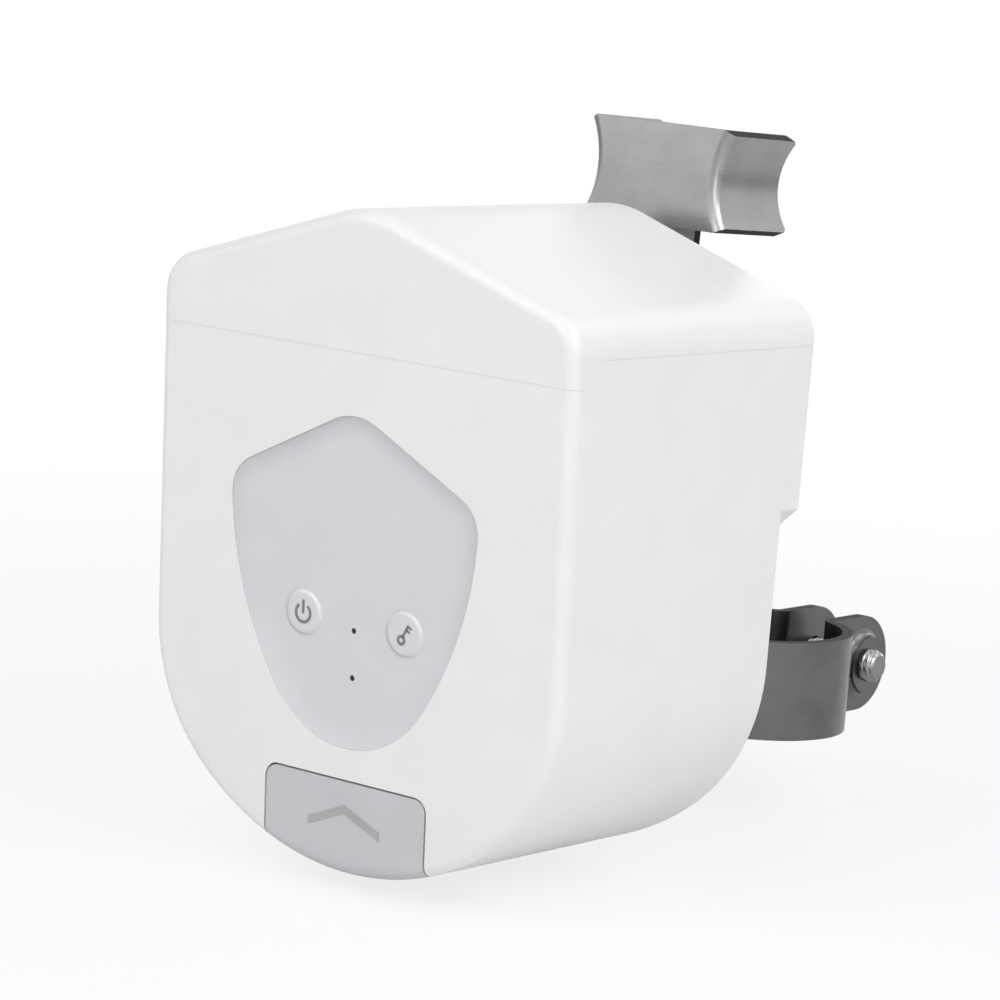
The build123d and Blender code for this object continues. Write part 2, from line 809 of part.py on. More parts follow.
# Clamp band: one strip of steel, round the pipe and out into two ears
ear_outer = ear_gap / 2 + band_thick
ear_end = ear_reach + band_height / 2
bore_radius = pipe_diameter / 2
with BuildPart() as clamp_band:
    with BuildSketch() as strip:
        Circle(band_outer)
        with Locations((0, ear_end / 2)):
            Rectangle(2 * ear_outer, ear_end)
        fillet(
            [v for v in strip.vertices() if bore_radius / 2 < v.Y < band_outer], ear_bend_radius
        )
        Circle(bore_radius, mode=Mode.SUBTRACT)
        with Locations((0, ear_end)):
            Rectangle(ear_gap, 2 * ear_end, mode=Mode.SUBTRACT)
        fillet(
            [v for v in strip.vertices() if bore_radius / 2 < v.Y < bore_radius],
            ear_bend_radius + band_thick,
        )
    extrude(amount=band_height / 2, both=True)
    with BuildSketch(Plane.YZ):
        with Locations(((ear_reach - band_outer) / 2 - band_height / 2, 0)):
            Rectangle(ear_reach + band_outer + band_height, band_height)
        with Locations((ear_reach, 0)):
            Circle(band_height / 2)
    extrude(amount=band_outer + cut_overrun, both=True, mode=Mode.INTERSECT)
    with BuildSketch(Plane.YZ.offset(ear_outer)):
        with Locations((ear_reach, 0)):
            Circle(ear_collar_diameter / 2)
    extrude(amount=ear_collar_height)
    collar_foot = [
        edge for edge in clamp_band.edges().filter_by(GeomType.CIRCLE)
        if abs(edge.radius - ear_collar_diameter / 2) < fixed_gap
        and abs(edge.center().X - ear_outer) < fixed_gap
    ]
    fillet(collar_foot, radius=ear_flare)
    with BuildSketch(Plane.YZ):
        with Locations((ear_reach, 0)):
            Circle(clamp_bolt_diameter / 2 + running_gap)
    extrude(amount=ear_outer + ear_collar_height + cut_overrun, mode=Mode.SUBTRACT)
    with BuildSketch(Plane.YZ):
        with Locations((ear_reach, 0)):
            Circle(clamp_bolt_hole / 2)
    extrude(amount=-(ear_outer + cut_overrun), mode=Mode.SUBTRACT)
clamp_band.part.label = "clamp_band"
export_step(clamp_band.part, "parts/clamp_band.step")

washer_x = -ear_outer - fixed_gap
with BuildPart() as clamp_washer:
    with BuildSketch(Plane.YZ.offset(washer_x)):
        with Locations((ear_reach, 0)):
            Circle(clamp_washer_diameter / 2)
            Circle(clamp_bolt_hole / 2, mode=Mode.SUBTRACT)
    extrude(amount=-clamp_washer_thick)
clamp_washer.part.label = "clamp_washer"
export_step(clamp_washer.part, "parts/clamp_washer.step")

head_x = washer_x - clamp_washer_thick - fixed_gap
with BuildPart() as clamp_bolt:
    with BuildSketch(Plane.YZ.offset(head_x)):
        with Locations((ear_reach, 0)):
            Circle(clamp_bolt_diameter / 2)
    extrude(amount=clamp_bolt_length)
    chamfer(clamp_bolt.faces().sort_by(Axis.X)[-1].edges(), length=bolt_tip_chamfer)
    with BuildSketch(Plane.YZ.offset(head_x)):
        with Locations((ear_reach, 0)):
            Circle(bolt_head_diameter / 2)
    extrude(amount=-bolt_head_height)
    with BuildSketch(Plane.YZ.offset(head_x - bolt_head_height)):
        with Locations((ear_reach, 0)):
            RegularPolygon(bolt_key_size / 2, 6, major_radius=False)
    extrude(amount=bolt_head_height / 2, mode=Mode.SUBTRACT)
clamp_bolt.part.label = "clamp_bolt"
export_step(clamp_bolt.part, "parts/clamp_bolt.step")

# Rear cover: flat below, stepped out over the gears, with shaft boss, slot and spring shelf
cover_inset = wall + cover_gap
inner_y = back_y - wall
tongue_mid = tongue_top - tongue_thick / 2
with BuildPart(mode=Mode.PRIVATE) as cover_hollow:
    with BuildSketch(upright(rear_y - wall)):
        add(housing_outline(cover_inset + wall))
    extrude(amount=bulge_depth + cut_overrun)
    add(below_bulge(-wall, -wall - 2 * cut_overrun), mode=Mode.SUBTRACT)

with BuildPart() as rear_cover:
    with BuildSketch(upright(rear_y)):
        add(housing_outline(cover_inset))
    extrude(amount=bulge_depth + wall - fixed_gap)
    add(below_bulge(0, 0), mode=Mode.SUBTRACT)
    add(cover_hollow.part, mode=Mode.SUBTRACT)
    with BuildSketch(upright(rear_y - wall + fixed_gap)):
        with Locations(*upper_places):
            Circle(cover_boss_diameter / 2 + insert_gap)
    extrude(amount=bulge_depth + cut_overrun, mode=Mode.SUBTRACT)
    with BuildSketch(upright(rear_y + shaft_boss_height)):
        with Locations((0, shaft_height)):
            Circle(shaft_boss_diameter / 2)
    extrude(amount=shaft_boss_height)
    with BuildSketch(upright(back_y - wall / 2)):
        with Locations((0, shelf_z + shelf_thick / 2)):
            Rectangle(2 * shelf_half_width, shelf_thick)
    extrude(amount=shelf_length + wall / 2)
    with BuildSketch(upright(rear_y + shaft_boss_height)):
        with Locations((0, shaft_height)):
            Circle(bush_diameter / 2 + fixed_gap)
    extrude(amount=shaft_boss_height + wall + cut_overrun, mode=Mode.SUBTRACT)
    with BuildSketch(upright(rear_y + shaft_boss_height)):
        with Locations((0, shaft_height)):
            Circle(seal_diameter / 2 + fixed_gap)
    extrude(amount=seal_thick + fixed_gap, mode=Mode.SUBTRACT)
    with BuildSketch(upright(back_y)):
        with Locations((0, tongue_mid)):
            Rectangle(2 * (tongue_half_width + insert_gap), tongue_thick + 2 * insert_gap)
        with Locations((inlet_side, inlet_height)):
            Circle(inlet_collar_diameter / 2 + fixed_gap)
    extrude(amount=wall, mode=Mode.SUBTRACT)
    for place in cover_screw_places:
        with BuildSketch(upright(rear_y)):
            with Locations(place):
                Circle(cover_screw_diameter / 2 + button_gap)
        extrude(amount=bulge_depth + wall, mode=Mode.SUBTRACT)
rear_cover.part.label = "rear_cover"
export_step(rear_cover.part, "parts/rear_cover.step")

with BuildPart() as cover_screws:
    for place in cover_screw_places:
        seat = rear_y if place[1] > bulge_z else back_y
        with BuildSketch(upright(seat + fixed_gap)):
            with Locations(place):
                Circle(cover_screw_head / 2)
        extrude(amount=-cover_screw_head_height)
        with BuildSketch(upright(seat + fixed_gap)):
            with Locations(place):
                Circle(cover_screw_diameter / 2)
        extrude(amount=cover_screw_length)
cover_screws.part.label = "cover_screws"
export_step(cover_screws.part, "parts/cover_screws.step")

# Power inlet: low-voltage socket on the flat lower half of the rear cover
with BuildPart() as power_inlet:
    with BuildSketch(upright(inner_y - fixed_gap)):
        with Locations((inlet_side, inlet_height)):
            Rectangle(inlet_width, inlet_width)
    extrude(amount=inlet_length)
    with BuildSketch(upright(inner_y - fixed_gap)):
        with Locations((inlet_side, inlet_height)):
            Circle(inlet_collar_diameter / 2)
    extrude(amount=-(wall + inlet_lip))
    with BuildSketch(upright(back_y + inlet_lip)):
        with Locations((inlet_side, inlet_height)):
            Circle(inlet_bore_diameter / 2)
            Circle(inlet_pin_diameter / 2, mode=Mode.SUBTRACT)
    extrude(amount=inlet_bore_depth, mode=Mode.SUBTRACT)
power_inlet.part.label = "power_inlet"
export_step(power_inlet.part, "parts/power_inlet.step")

# Gearbox: two plates held apart by pillars
shaft_place = (0, shaft_height)
gear_rear_y = rear_y - wall - switch_space
gear_front_y = gear_rear_y - plate_thick - gear_space
ridge_z = seam_height + roof_rise
pillar_places = [
    (across * half_width, plate_bottom + rise * (ridge_z - plate_bottom))
    for across, rise in pillar_places_share
]


def polar(origin, distance, angle):
    """Point at distance and angle from origin, seen from the front."""
    turn = math.radians(angle)
    return (origin[0] + distance * math.cos(turn), origin[1] + distance * math.sin(turn))


def centre_distance(module, teeth, mate_teeth):
    """Distance between the axes of two gears in mesh."""
    return module * (teeth + mate_teeth) / 2


second_place = polar(
    shaft_place, centre_distance(output_module, output_teeth, second_pinion_teeth),
    second_gear_angle,
)
first_place = polar(
    second_place, centre_distance(second_module, second_wheel_teeth, first_pinion_teeth),
    first_gear_angle,
)
motor_place = polar(
    first_place, centre_distance(first_module, first_wheel_teeth, motor_pinion_teeth),
    motor_angle,
)


def plate_outline():
    """Outline of a gearbox plate: the housing drawn in and cut off flat below."""
    with BuildSketch() as outline:
        add(housing_outline(wall + plate_inset))
        with Locations((0, plate_bottom - body_drop)):
            Rectangle(2 * body_width, 2 * body_drop, mode=Mode.SUBTRACT)
    return outline.sketch


with BuildPart() as gearbox_front_plate:
    with BuildSketch(upright(gear_front_y)):
        add(plate_outline())
    extrude(amount=plate_thick)
    with BuildSketch(upright(gear_front_y + gear_space)):
        with Locations(*pillar_places):
            Circle(pillar_diameter / 2)
    extrude(amount=gear_space)
    with BuildSketch(upright(gear_front_y)):
        with Locations(shaft_place):
            Circle(bush_diameter / 2 + fixed_gap)
        with Locations(motor_place):
            Circle(motor_nose_diameter / 2 + fixed_gap)
        with Locations(second_place, first_place):
            Circle(gear_pin_diameter / 2 + fixed_gap)
    extrude(amount=plate_thick, mode=Mode.SUBTRACT)
    with BuildSketch(upright(gear_front_y + gear_space)):
        with Locations(*pillar_places):
            Circle(gearbox_screw_diameter / 2 + fixed_gap)
    extrude(amount=gearbox_screw_length, mode=Mode.SUBTRACT)
gearbox_front_plate.part.label = "gearbox_front_plate"
export_step(gearbox_front_plate.part, "parts/gearbox_front_plate.step")

plate_seat = gear_front_y + gear_space + fixed_gap
with BuildPart() as gearbox_rear_plate:
    with BuildSketch(upright(plate_seat + plate_thick)):
        add(plate_outline())
        with Locations(*pillar_places):
            Circle(gearbox_screw_diameter / 2 + fixed_gap, mode=Mode.SUBTRACT)
        with Locations(shaft_place):
            Circle(shaft_diameter / 2 + insert_gap, mode=Mode.SUBTRACT)
        with Locations(second_place, first_place):
            Circle(gear_pin_diameter / 2 + fixed_gap, mode=Mode.SUBTRACT)
        with Locations(*upper_places):
            Circle(cover_boss_diameter / 2 + insert_gap, mode=Mode.SUBTRACT)
    extrude(amount=plate_thick)
gearbox_rear_plate.part.label = "gearbox_rear_plate"
export_step(gearbox_rear_plate.part, "parts/gearbox_rear_plate.step")

plate_back = plate_seat + plate_thick
with BuildPart() as gearbox_screws:
    with BuildSketch(upright(plate_back + fixed_gap)):
        with Locations(*pillar_places):
            Circle(gearbox_screw_head / 2)
    extrude(amount=-gearbox_screw_head_height)
    with BuildSketch(upright(plate_back + fixed_gap)):
        with Locations(*pillar_places):
            Circle(gearbox_screw_diameter / 2)
    extrude(amount=gearbox_screw_length)
gearbox_screws.part.label = "gearbox_screws"
export_step(gearbox_screws.part, "parts/gearbox_screws.step")

with BuildPart() as gear_pins:
    with BuildSketch(upright(plate_back)):
        with Locations(second_place, first_place):
            Circle(gear_pin_diameter / 2)
    extrude(amount=2 * plate_thick + gear_space)
gear_pins.part.label = "gear_pins"
export_step(gear_pins.part, "parts/gear_pins.step")

# Motor in front of the front plate, above the circuit board
motor_face = gear_front_y - plate_thick - fixed_gap
with BuildPart() as drive_motor:
    with BuildSketch(upright(motor_face)):
        with Locations(motor_place):
            Circle(motor_diameter / 2)
    extrude(amount=motor_length)
    with BuildSketch(upright(motor_face - motor_length)):
        with Locations(motor_place):
            Circle(motor_cap_diameter / 2)
    extrude(amount=motor_cap_length)
    with BuildSketch(upright(motor_face)):
        with Locations(motor_place):
            Circle(motor_nose_diameter / 2)
    extrude(amount=-motor_nose_length)
    with BuildSketch(upright(motor_face + motor_nose_length)):
        with Locations(motor_place):
            Circle(motor_shaft_diameter / 2 + running_gap)
    extrude(amount=motor_length, mode=Mode.SUBTRACT)
drive_motor.part.label = "drive_motor"
export_step(drive_motor.part, "parts/drive_motor.step")


def involute(angle):
    """Involute function of a pressure angle in radians."""
    return math.tan(angle) - angle


def gear_outline(module, teeth, bore, tooth_angle):
    """Toothed disc with a bore and one tooth pointing at tooth_angle, seen from the front."""
    pressure = math.radians(pressure_angle)
    pitch_radius = module * teeth / 2
    base_radius = pitch_radius * math.cos(pressure)
    root_radius = pitch_radius - dedendum_share * module
    tip_radius = pitch_radius + addendum_share * module
    half_tooth = (math.pi * module / 2 - gear_backlash / 2) / (2 * pitch_radius)

    def half_angle(radius):
        at = math.acos(min(base_radius / radius, base_radius / base_radius))
        return half_tooth + involute(pressure) - involute(at)

    start_radius = max(root_radius, base_radius)
    flank = [
        (root_radius, half_angle(start_radius)),
        ((start_radius + tip_radius) / 2, half_angle((start_radius + tip_radius) / 2)),
        (tip_radius, half_angle(tip_radius)),
    ]
    points = []
    for tooth in range(teeth):
        middle = math.radians(tooth_angle) + 2 * math.pi * tooth / teeth
        for radius, half in flank:
            points.append((radius * math.cos(middle - half), radius * math.sin(middle - half)))
        for radius, half in reversed(flank):
            points.append((radius * math.cos(middle + half), radius * math.sin(middle + half)))
    with BuildSketch() as outline:
        with BuildLine():
            Polyline(*points, close=True)
        make_face()
        Circle(bore / 2, mode=Mode.SUBTRACT)
    return outline.sketch


def half_pitch(teeth):
    """Angle in degrees from the middle of a tooth to the middle of the next gap."""
    return math.degrees(math.pi / teeth)


layer_a = gear_front_y + plate_gap
layer_b = layer_a + wheel_face + layer_gap
layer_c = gear_front_y + gear_space - output_gear_gap
pin_bore = gear_pin_diameter + 2 * running_gap

# Motor pinion on the motor shaft
with BuildPart() as motor_pinion:
    with BuildSketch(upright(layer_a + wheel_face)):
        with Locations(motor_place):
            add(gear_outline(
                first_module, motor_pinion_teeth, motor_shaft_diameter + 2 * fixed_gap,
                motor_angle + math.degrees(math.pi) + half_pitch(motor_pinion_teeth),
            ))
    extrude(amount=wheel_face)
motor_pinion.part.label = "motor_pinion"
export_step(motor_pinion.part, "parts/motor_pinion.step")

with BuildPart() as motor_shaft:
    with BuildSketch(upright(layer_a + wheel_face)):
        with Locations(motor_place):
            Circle(motor_shaft_diameter / 2)
    extrude(amount=wheel_face + plate_gap + plate_thick + motor_length - motor_nose_length)
motor_shaft.part.label = "motor_shaft"
export_step(motor_shaft.part, "parts/motor_shaft.step")

# First gear: wheel driven by the motor pinion, with its own pinion behind it
with BuildPart() as first_gear:
    with BuildSketch(upright(layer_a + wheel_face)):
        with Locations(first_place):
            add(gear_outline(first_module, first_wheel_teeth, pin_bore, motor_angle))
    extrude(amount=wheel_face)
    with BuildSketch(upright(layer_b + wheel_face + plate_gap)):
        with Locations(first_place):
            add(gear_outline(
                second_module, first_pinion_teeth, pin_bore,
                first_gear_angle + math.degrees(math.pi) + half_pitch(first_pinion_teeth),
            ))
    extrude(amount=wheel_face + plate_gap + layer_gap)
first_gear.part.label = "first_gear"
export_step(first_gear.part, "parts/first_gear.step")

# Second gear: wheel in the middle layer, with the pinion that turns the output gear
with BuildPart() as second_gear:
    with BuildSketch(upright(layer_b + wheel_face)):
        with Locations(second_place):
            add(gear_outline(second_module, second_wheel_teeth, pin_bore, first_gear_angle))
    extrude(amount=wheel_face)
    with BuildSketch(upright(layer_c)):
        with Locations(second_place):
            add(gear_outline(
                output_module, second_pinion_teeth, pin_bore,
                second_gear_angle + math.degrees(math.pi) + half_pitch(second_pinion_teeth),
            ))
    extrude(amount=layer_c - layer_b - wheel_face)
second_gear.part.label = "second_gear"
export_step(second_gear.part, "parts/second_gear.step")

# Output gear, keyed to the output shaft
with BuildPart() as output_gear:
    with BuildSketch(upright(layer_c)):
        with Locations(shaft_place):
            add(gear_outline(
                output_module, output_teeth, shaft_diameter + 2 * fixed_gap, second_gear_angle
            ))
            Circle(gear_hub_diameter / 2)
            Circle(shaft_diameter / 2 + fixed_gap, mode=Mode.SUBTRACT)
    extrude(amount=output_face)
    with BuildSketch(upright(layer_c - output_face)):
        with Locations(shaft_place):
            Circle(gear_hub_diameter / 2)
            Circle(shaft_diameter / 2 + fixed_gap, mode=Mode.SUBTRACT)
    hub_end = gear_front_y + bush_flange_thick + fixed_gap
    extrude(amount=layer_c - output_face - hub_end - plate_gap)
    rim_radius = output_module * (output_teeth / 2 - dedendum_share) - gear_rim
    for recess_start in (layer_c, layer_c - output_face + gear_web_recess):
        with BuildSketch(upright(recess_start)):
            with Locations(shaft_place):
                Circle(rim_radius)
                Circle(gear_hub_diameter / 2, mode=Mode.SUBTRACT)
        extrude(amount=gear_web_recess, mode=Mode.SUBTRACT)
output_gear.part.label = "output_gear"
export_step(output_gear.part, "parts/output_gear.step")

# Output shaft: runs in two bushes, then a shoulder, a square and a thread for the wrench
shaft_front = gear_front_y - plate_thick
wrench_front = rear_y + wrench_offset
wrench_back = wrench_front + wrench_sheet
with BuildPart() as output_shaft:
    with BuildSketch(upright(rear_y + shaft_boss_height + plate_gap)):
        with Locations(shaft_place):
            Circle(shaft_diameter / 2)
    extrude(amount=rear_y + shaft_boss_height + plate_gap - shaft_front)
    with BuildSketch(upright(wrench_front - fixed_gap)):
        with Locations(shaft_place):
            Circle(shoulder_diameter / 2)
    extrude(amount=wrench_front - fixed_gap - rear_y - shaft_boss_height - plate_gap)
    with BuildSketch(upright(wrench_back)):
        with Locations(shaft_place):
            Rectangle(shaft_square, shaft_square)
    extrude(amount=wrench_sheet + fixed_gap)
    with BuildSketch(upright(wrench_back)):
        with Locations(shaft_place):
            Circle(wrench_thread_diameter / 2)
    extrude(amount=-(wrench_washer_thick + wrench_nut_height + wrench_thread_spare))
output_shaft.part.label = "output_shaft"
export_step(output_shaft.part, "parts/output_shaft.step")

# Bushes: one in the front plate, one in the boss of the rear cover, both with a flange
bush_bore = shaft_diameter / 2 + running_gap
with BuildPart() as shaft_bushes:
    bush_end = rear_y + shaft_boss_height - seal_thick - 2 * fixed_gap
    for end, length, flange in (
        (gear_front_y, plate_thick, gear_front_y + bush_flange_thick),
        (bush_end, bush_end - rear_y + wall, rear_y - wall - fixed_gap),
    ):
        with BuildSketch(upright(end)):
            with Locations(shaft_place):
                Circle(bush_diameter / 2)
                Circle(bush_bore, mode=Mode.SUBTRACT)
        extrude(amount=length + fixed_gap)
        with BuildSketch(upright(flange)):
            with Locations(shaft_place):
                Circle(bush_flange_diameter / 2)
                Circle(bush_bore, mode=Mode.SUBTRACT)
        extrude(amount=bush_flange_thick)
shaft_bushes.part.label = "shaft_bushes"
export_step(shaft_bushes.part, "parts/shaft_bushes.step")

with BuildPart() as shaft_seal:
    with BuildSketch(upright(rear_y + shaft_boss_height)):
        with Locations(shaft_place):
            Circle(seal_diameter / 2)
            Circle(shaft_diameter / 2 + running_gap, mode=Mode.SUBTRACT)
    extrude(amount=seal_thick)
shaft_seal.part.label = "shaft_seal"
export_step(shaft_seal.part, "parts/shaft_seal.step")

# Cam on the shaft and the two switches that it presses when the valve is open or closed
cam_rear = rear_y - wall - bush_flange_thick - plate_gap
with BuildPart() as switch_cam:
    with BuildSketch(upright(cam_rear)):
        with Locations(shaft_place):
            Circle(cam_diameter / 2)
        with Locations((0, shaft_height + cam_reach / 2)):
            Rectangle(cam_lobe_width, cam_reach)
        with Locations(shaft_place):
            Circle(shaft_diameter / 2 + fixed_gap, mode=Mode.SUBTRACT)
    extrude(amount=cam_thick)
switch_cam.part.label = "switch_cam"
export_step(switch_cam.part, "parts/switch_cam.step")

switch_centre = cam_reach + insert_gap + switch_tip_length + position_switch_height / 2
with BuildPart() as position_switches:
    for angle in (math.degrees(math.pi / 2), math.degrees(0)):
        body_place = polar(shaft_place, switch_centre, angle)
        tip_place = polar(shaft_place, cam_reach + insert_gap + switch_tip_length, angle)
        with BuildSketch(upright(plate_back + fixed_gap + position_switch_thick)):
            with Locations(Location((*body_place, 0), (0, 0, angle))):
                Rectangle(position_switch_height, position_switch_width)
            with Locations(Location((*tip_place, 0), (0, 0, angle))):
                Rectangle(2 * switch_tip_length, switch_tip_width)
        extrude(amount=position_switch_thick)
position_switches.part.label = "position_switches"
export_step(position_switches.part, "parts/position_switches.step")

# Wrench arm: strip of steel from the shaft up to the grip, leaning back above its bend
lean = math.radians(wrench_lean)
bend_z = shaft_height + wrench_bend_rise
grip_front = wrench_front + (grip_height - bend_z) * math.tan(lean) - grip_wall / math.cos(lean)
arm_top = grip_height + grip_half_height - 2 * grip_wall
with BuildPart() as wrench_arm:
    with BuildSketch(Plane.YZ):
        with BuildLine():
            top_y = wrench_front + (arm_top - bend_z) * math.tan(lean)
            low_z = shaft_height - wrench_half_width
            Polyline(
                (wrench_front, low_z), (wrench_front, bend_z), (top_y, arm_top),
                (top_y + wrench_sheet, arm_top), (wrench_back, bend_z), (wrench_back, low_z),
                close=True,
            )
        make_face()
    extrude(amount=wrench_half_width, both=True)
    with BuildSketch(upright(wrench_back + cut_overrun)):
        with Locations(shaft_place):
            Circle(wrench_half_width)
        with Locations((0, (shaft_height + arm_top) / 2)):
            Rectangle(2 * wrench_half_width, arm_top - shaft_height)
    extrude(amount=wrench_sheet + 2 * cut_overrun, mode=Mode.INTERSECT)
    with BuildSketch(upright(wrench_back + cut_overrun)):
        with Locations(shaft_place):
            Rectangle(shaft_square + 2 * fixed_gap, shaft_square + 2 * fixed_gap)
    extrude(amount=wrench_sheet + 2 * cut_overrun, mode=Mode.SUBTRACT)
wrench_arm.part.label = "wrench_arm"
export_step(wrench_arm.part, "parts/wrench_arm.step")

# Wrench grip: U of steel with drawn-in sides, open to the rear, that takes the valve lever
grip_plane = Plane(
    origin=(0, grip_front - fixed_gap, grip_height),
    x_dir=(1, 0, 0),
    z_dir=(0, -math.cos(lean), math.sin(lean)),
)
side_bow = (grip_half_height**2 + grip_waist**2) / (2 * grip_waist)
rear_bow = (grip_half_height**2 + grip_rear_waist**2) / (2 * grip_rear_waist)
bow_x = grip_half_width - grip_waist + side_bow


def drawn_in(bow, half_height):
    """Outline of the grip from the front, with both sides drawn in by an arc of radius bow."""
    with BuildSketch() as outline:
        Rectangle(2 * grip_half_width, 2 * half_height)
        with Locations((-bow_x, 0), (bow_x, 0)):
            Circle(bow, mode=Mode.SUBTRACT)
    return outline.sketch


with BuildPart() as wrench_grip:
    with BuildSketch(grip_plane) as front_view:
        add(drawn_in(side_bow, grip_half_height))
    extrude(amount=-grip_depth)
    front_edges = wrench_grip.faces().sort_by(Axis.Y)[0].edges().filter_by(GeomType.CIRCLE)
    fillet(front_edges, radius=grip_bend_radius)
    with BuildSketch(grip_plane.offset(-grip_wall)):
        add(drawn_in(side_bow + grip_wall, grip_half_height + cut_overrun))
    extrude(amount=-grip_depth, mode=Mode.SUBTRACT)
    for up in (-1, 1):
        for across in (-1, 1):
            with BuildSketch(grip_plane.offset(cut_overrun)):
                with BuildLine():
                    Polyline(
                        (across * (grip_half_width - grip_bevel_width), up * grip_half_height),
                        (across * (grip_half_width + grip_bevel_width), up * grip_half_height),
                        (across * grip_half_width, up * (grip_half_height - grip_bevel_height)),
                        close=True,
                    )
                make_face()
            extrude(amount=-(grip_depth + 2 * cut_overrun), mode=Mode.SUBTRACT)
    side_plane = Plane(
        origin=grip_plane.origin, x_dir=-grip_plane.z_dir, z_dir=(1, 0, 0)
    )
    with BuildSketch(side_plane):
        with Locations((grip_depth - grip_rear_waist + rear_bow, 0)):
            Circle(rear_bow)
    extrude(amount=half_width, both=True, mode=Mode.SUBTRACT)
    with BuildSketch(side_plane):
        for up in (-1, 1):
            with BuildLine():
                Polyline(
                    (grip_depth - grip_bevel_width, up * (grip_half_height + grip_wall)),
                    (grip_depth - grip_bevel_width, up * grip_half_height),
                    (grip_depth, up * (grip_half_height - grip_bevel_width)),
                    (grip_depth + grip_wall, up * (grip_half_height + grip_wall)),
                    close=True,
                )
            make_face()
    extrude(amount=half_width, both=True, mode=Mode.SUBTRACT)
wrench_grip.part.label = "wrench_grip"
export_step(wrench_grip.part, "parts/wrench_grip.step")

with BuildPart() as wrench_washer:
    with BuildSketch(upright(wrench_back + wrench_washer_thick)):
        with Locations(shaft_place):
            Circle(wrench_washer_diameter / 2)
            Circle(wrench_thread_diameter / 2 + button_gap, mode=Mode.SUBTRACT)
    extrude(amount=wrench_washer_thick - fixed_gap)
wrench_washer.part.label = "wrench_washer"
export_step(wrench_washer.part, "parts/wrench_washer.step")

nut_face = wrench_back + wrench_washer_thick + fixed_gap
with BuildPart() as wrench_nut:
    with BuildSketch(upright(nut_face + wrench_nut_height)):
        with Locations(shaft_place):
            RegularPolygon(wrench_nut_size / 2, 6, major_radius=False)
            Circle(wrench_thread_diameter / 2 + fixed_gap, mode=Mode.SUBTRACT)
    extrude(amount=wrench_nut_height)
wrench_nut.part.label = "wrench_nut"
export_step(wrench_nut.part, "parts/wrench_nut.step")
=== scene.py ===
# %% [markdown]
# # A valve controller in Blender
#
# The object is a white plastic housing with a motor inside, clamped to a water pipe by a steel band.
# A steel wrench behind it turns the lever of a ball valve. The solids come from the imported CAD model,
# in metres, with the origin on the pipe's axis. This lesson gives each of them a real finish, and
# builds the pieces whose shape is finer than the solids: threads, the wound spring, screw heads, the
# dished panel with its buttons, and the marks on them.

# %% Load the frame
import json
import math

import bmesh
import bpy
from mathutils import Matrix, Vector


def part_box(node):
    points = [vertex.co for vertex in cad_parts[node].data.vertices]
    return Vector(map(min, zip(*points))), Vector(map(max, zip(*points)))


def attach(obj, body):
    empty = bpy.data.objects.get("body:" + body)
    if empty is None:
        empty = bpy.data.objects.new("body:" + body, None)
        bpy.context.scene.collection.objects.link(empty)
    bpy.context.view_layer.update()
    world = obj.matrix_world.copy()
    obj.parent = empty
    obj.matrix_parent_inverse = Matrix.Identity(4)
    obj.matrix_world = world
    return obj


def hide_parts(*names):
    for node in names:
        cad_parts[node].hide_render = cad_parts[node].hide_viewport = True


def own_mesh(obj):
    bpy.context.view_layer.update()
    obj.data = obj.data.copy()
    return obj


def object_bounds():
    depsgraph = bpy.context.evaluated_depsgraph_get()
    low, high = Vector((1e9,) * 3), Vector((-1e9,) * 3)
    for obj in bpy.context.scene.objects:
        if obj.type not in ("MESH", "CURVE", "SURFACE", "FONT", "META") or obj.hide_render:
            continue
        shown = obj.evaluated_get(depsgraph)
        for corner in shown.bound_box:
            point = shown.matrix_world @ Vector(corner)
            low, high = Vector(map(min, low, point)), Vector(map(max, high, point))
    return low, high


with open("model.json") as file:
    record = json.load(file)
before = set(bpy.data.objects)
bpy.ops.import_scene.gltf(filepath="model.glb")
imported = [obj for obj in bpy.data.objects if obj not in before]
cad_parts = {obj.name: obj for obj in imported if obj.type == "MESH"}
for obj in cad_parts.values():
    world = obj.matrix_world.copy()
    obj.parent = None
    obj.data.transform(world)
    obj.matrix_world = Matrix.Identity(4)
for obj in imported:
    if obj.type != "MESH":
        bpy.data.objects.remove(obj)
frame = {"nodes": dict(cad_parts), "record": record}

MM = 0.001
cad_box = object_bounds()
nodes = frame["nodes"]
print("nodes in the frame:", len(nodes))

# %% [markdown]
# ## Camera first
#
# The photo was taken with a long lens from the front right, a little above the object, and with the
# camera rolled by a few degrees. A long lens keeps the edges of the housing nearly parallel.

# %% Camera
CAMERA_PLACE = Vector((424.73, -641.25, 144.22)) * MM
CAMERA_AZIMUTH = math.radians(37.1025)
CAMERA_ELEVATION = math.radians(8.6349)
CAMERA_ROLL = math.radians(4.8026)
LENS_MM = 154.182


def aim(azimuth, elevation, roll):
    """Rotation of a camera that looks at the front from azimuth and elevation, then rolls."""
    forward = Vector((
        -math.sin(azimuth) * math.cos(elevation),
        math.cos(azimuth) * math.cos(elevation),
        -math.sin(elevation),
    ))
    level_right = Vector((math.cos(azimuth), math.sin(azimuth), 0))
    level_up = level_right.cross(forward)
    right = level_right * math.cos(roll) + level_up * math.sin(roll)
    up = level_up * math.cos(roll) - level_right * math.sin(roll)
    return Matrix((right, up, -forward)).transposed().to_4x4()


camera_data = bpy.data.cameras.new("camera")
camera_data.lens = LENS_MM
camera_data.sensor_width = 36
camera_data.clip_start = 0.01
camera = bpy.data.objects.new("camera", camera_data)
camera.matrix_world = Matrix.Translation(CAMERA_PLACE) @ aim(
    CAMERA_AZIMUTH, CAMERA_ELEVATION, CAMERA_ROLL
)
bpy.context.collection.objects.link(camera)
bpy.context.scene.camera = camera
print("camera distance in mm:", round(CAMERA_PLACE.length / MM))

# %% [markdown]
# ## Small helpers for materials
#
# Every finish below is made from shader nodes. One function turns an sRGB hex colour into the linear
# numbers that Cycles wants. One function adds a node, sets its inputs and links them, so each
# material reads as a short list.

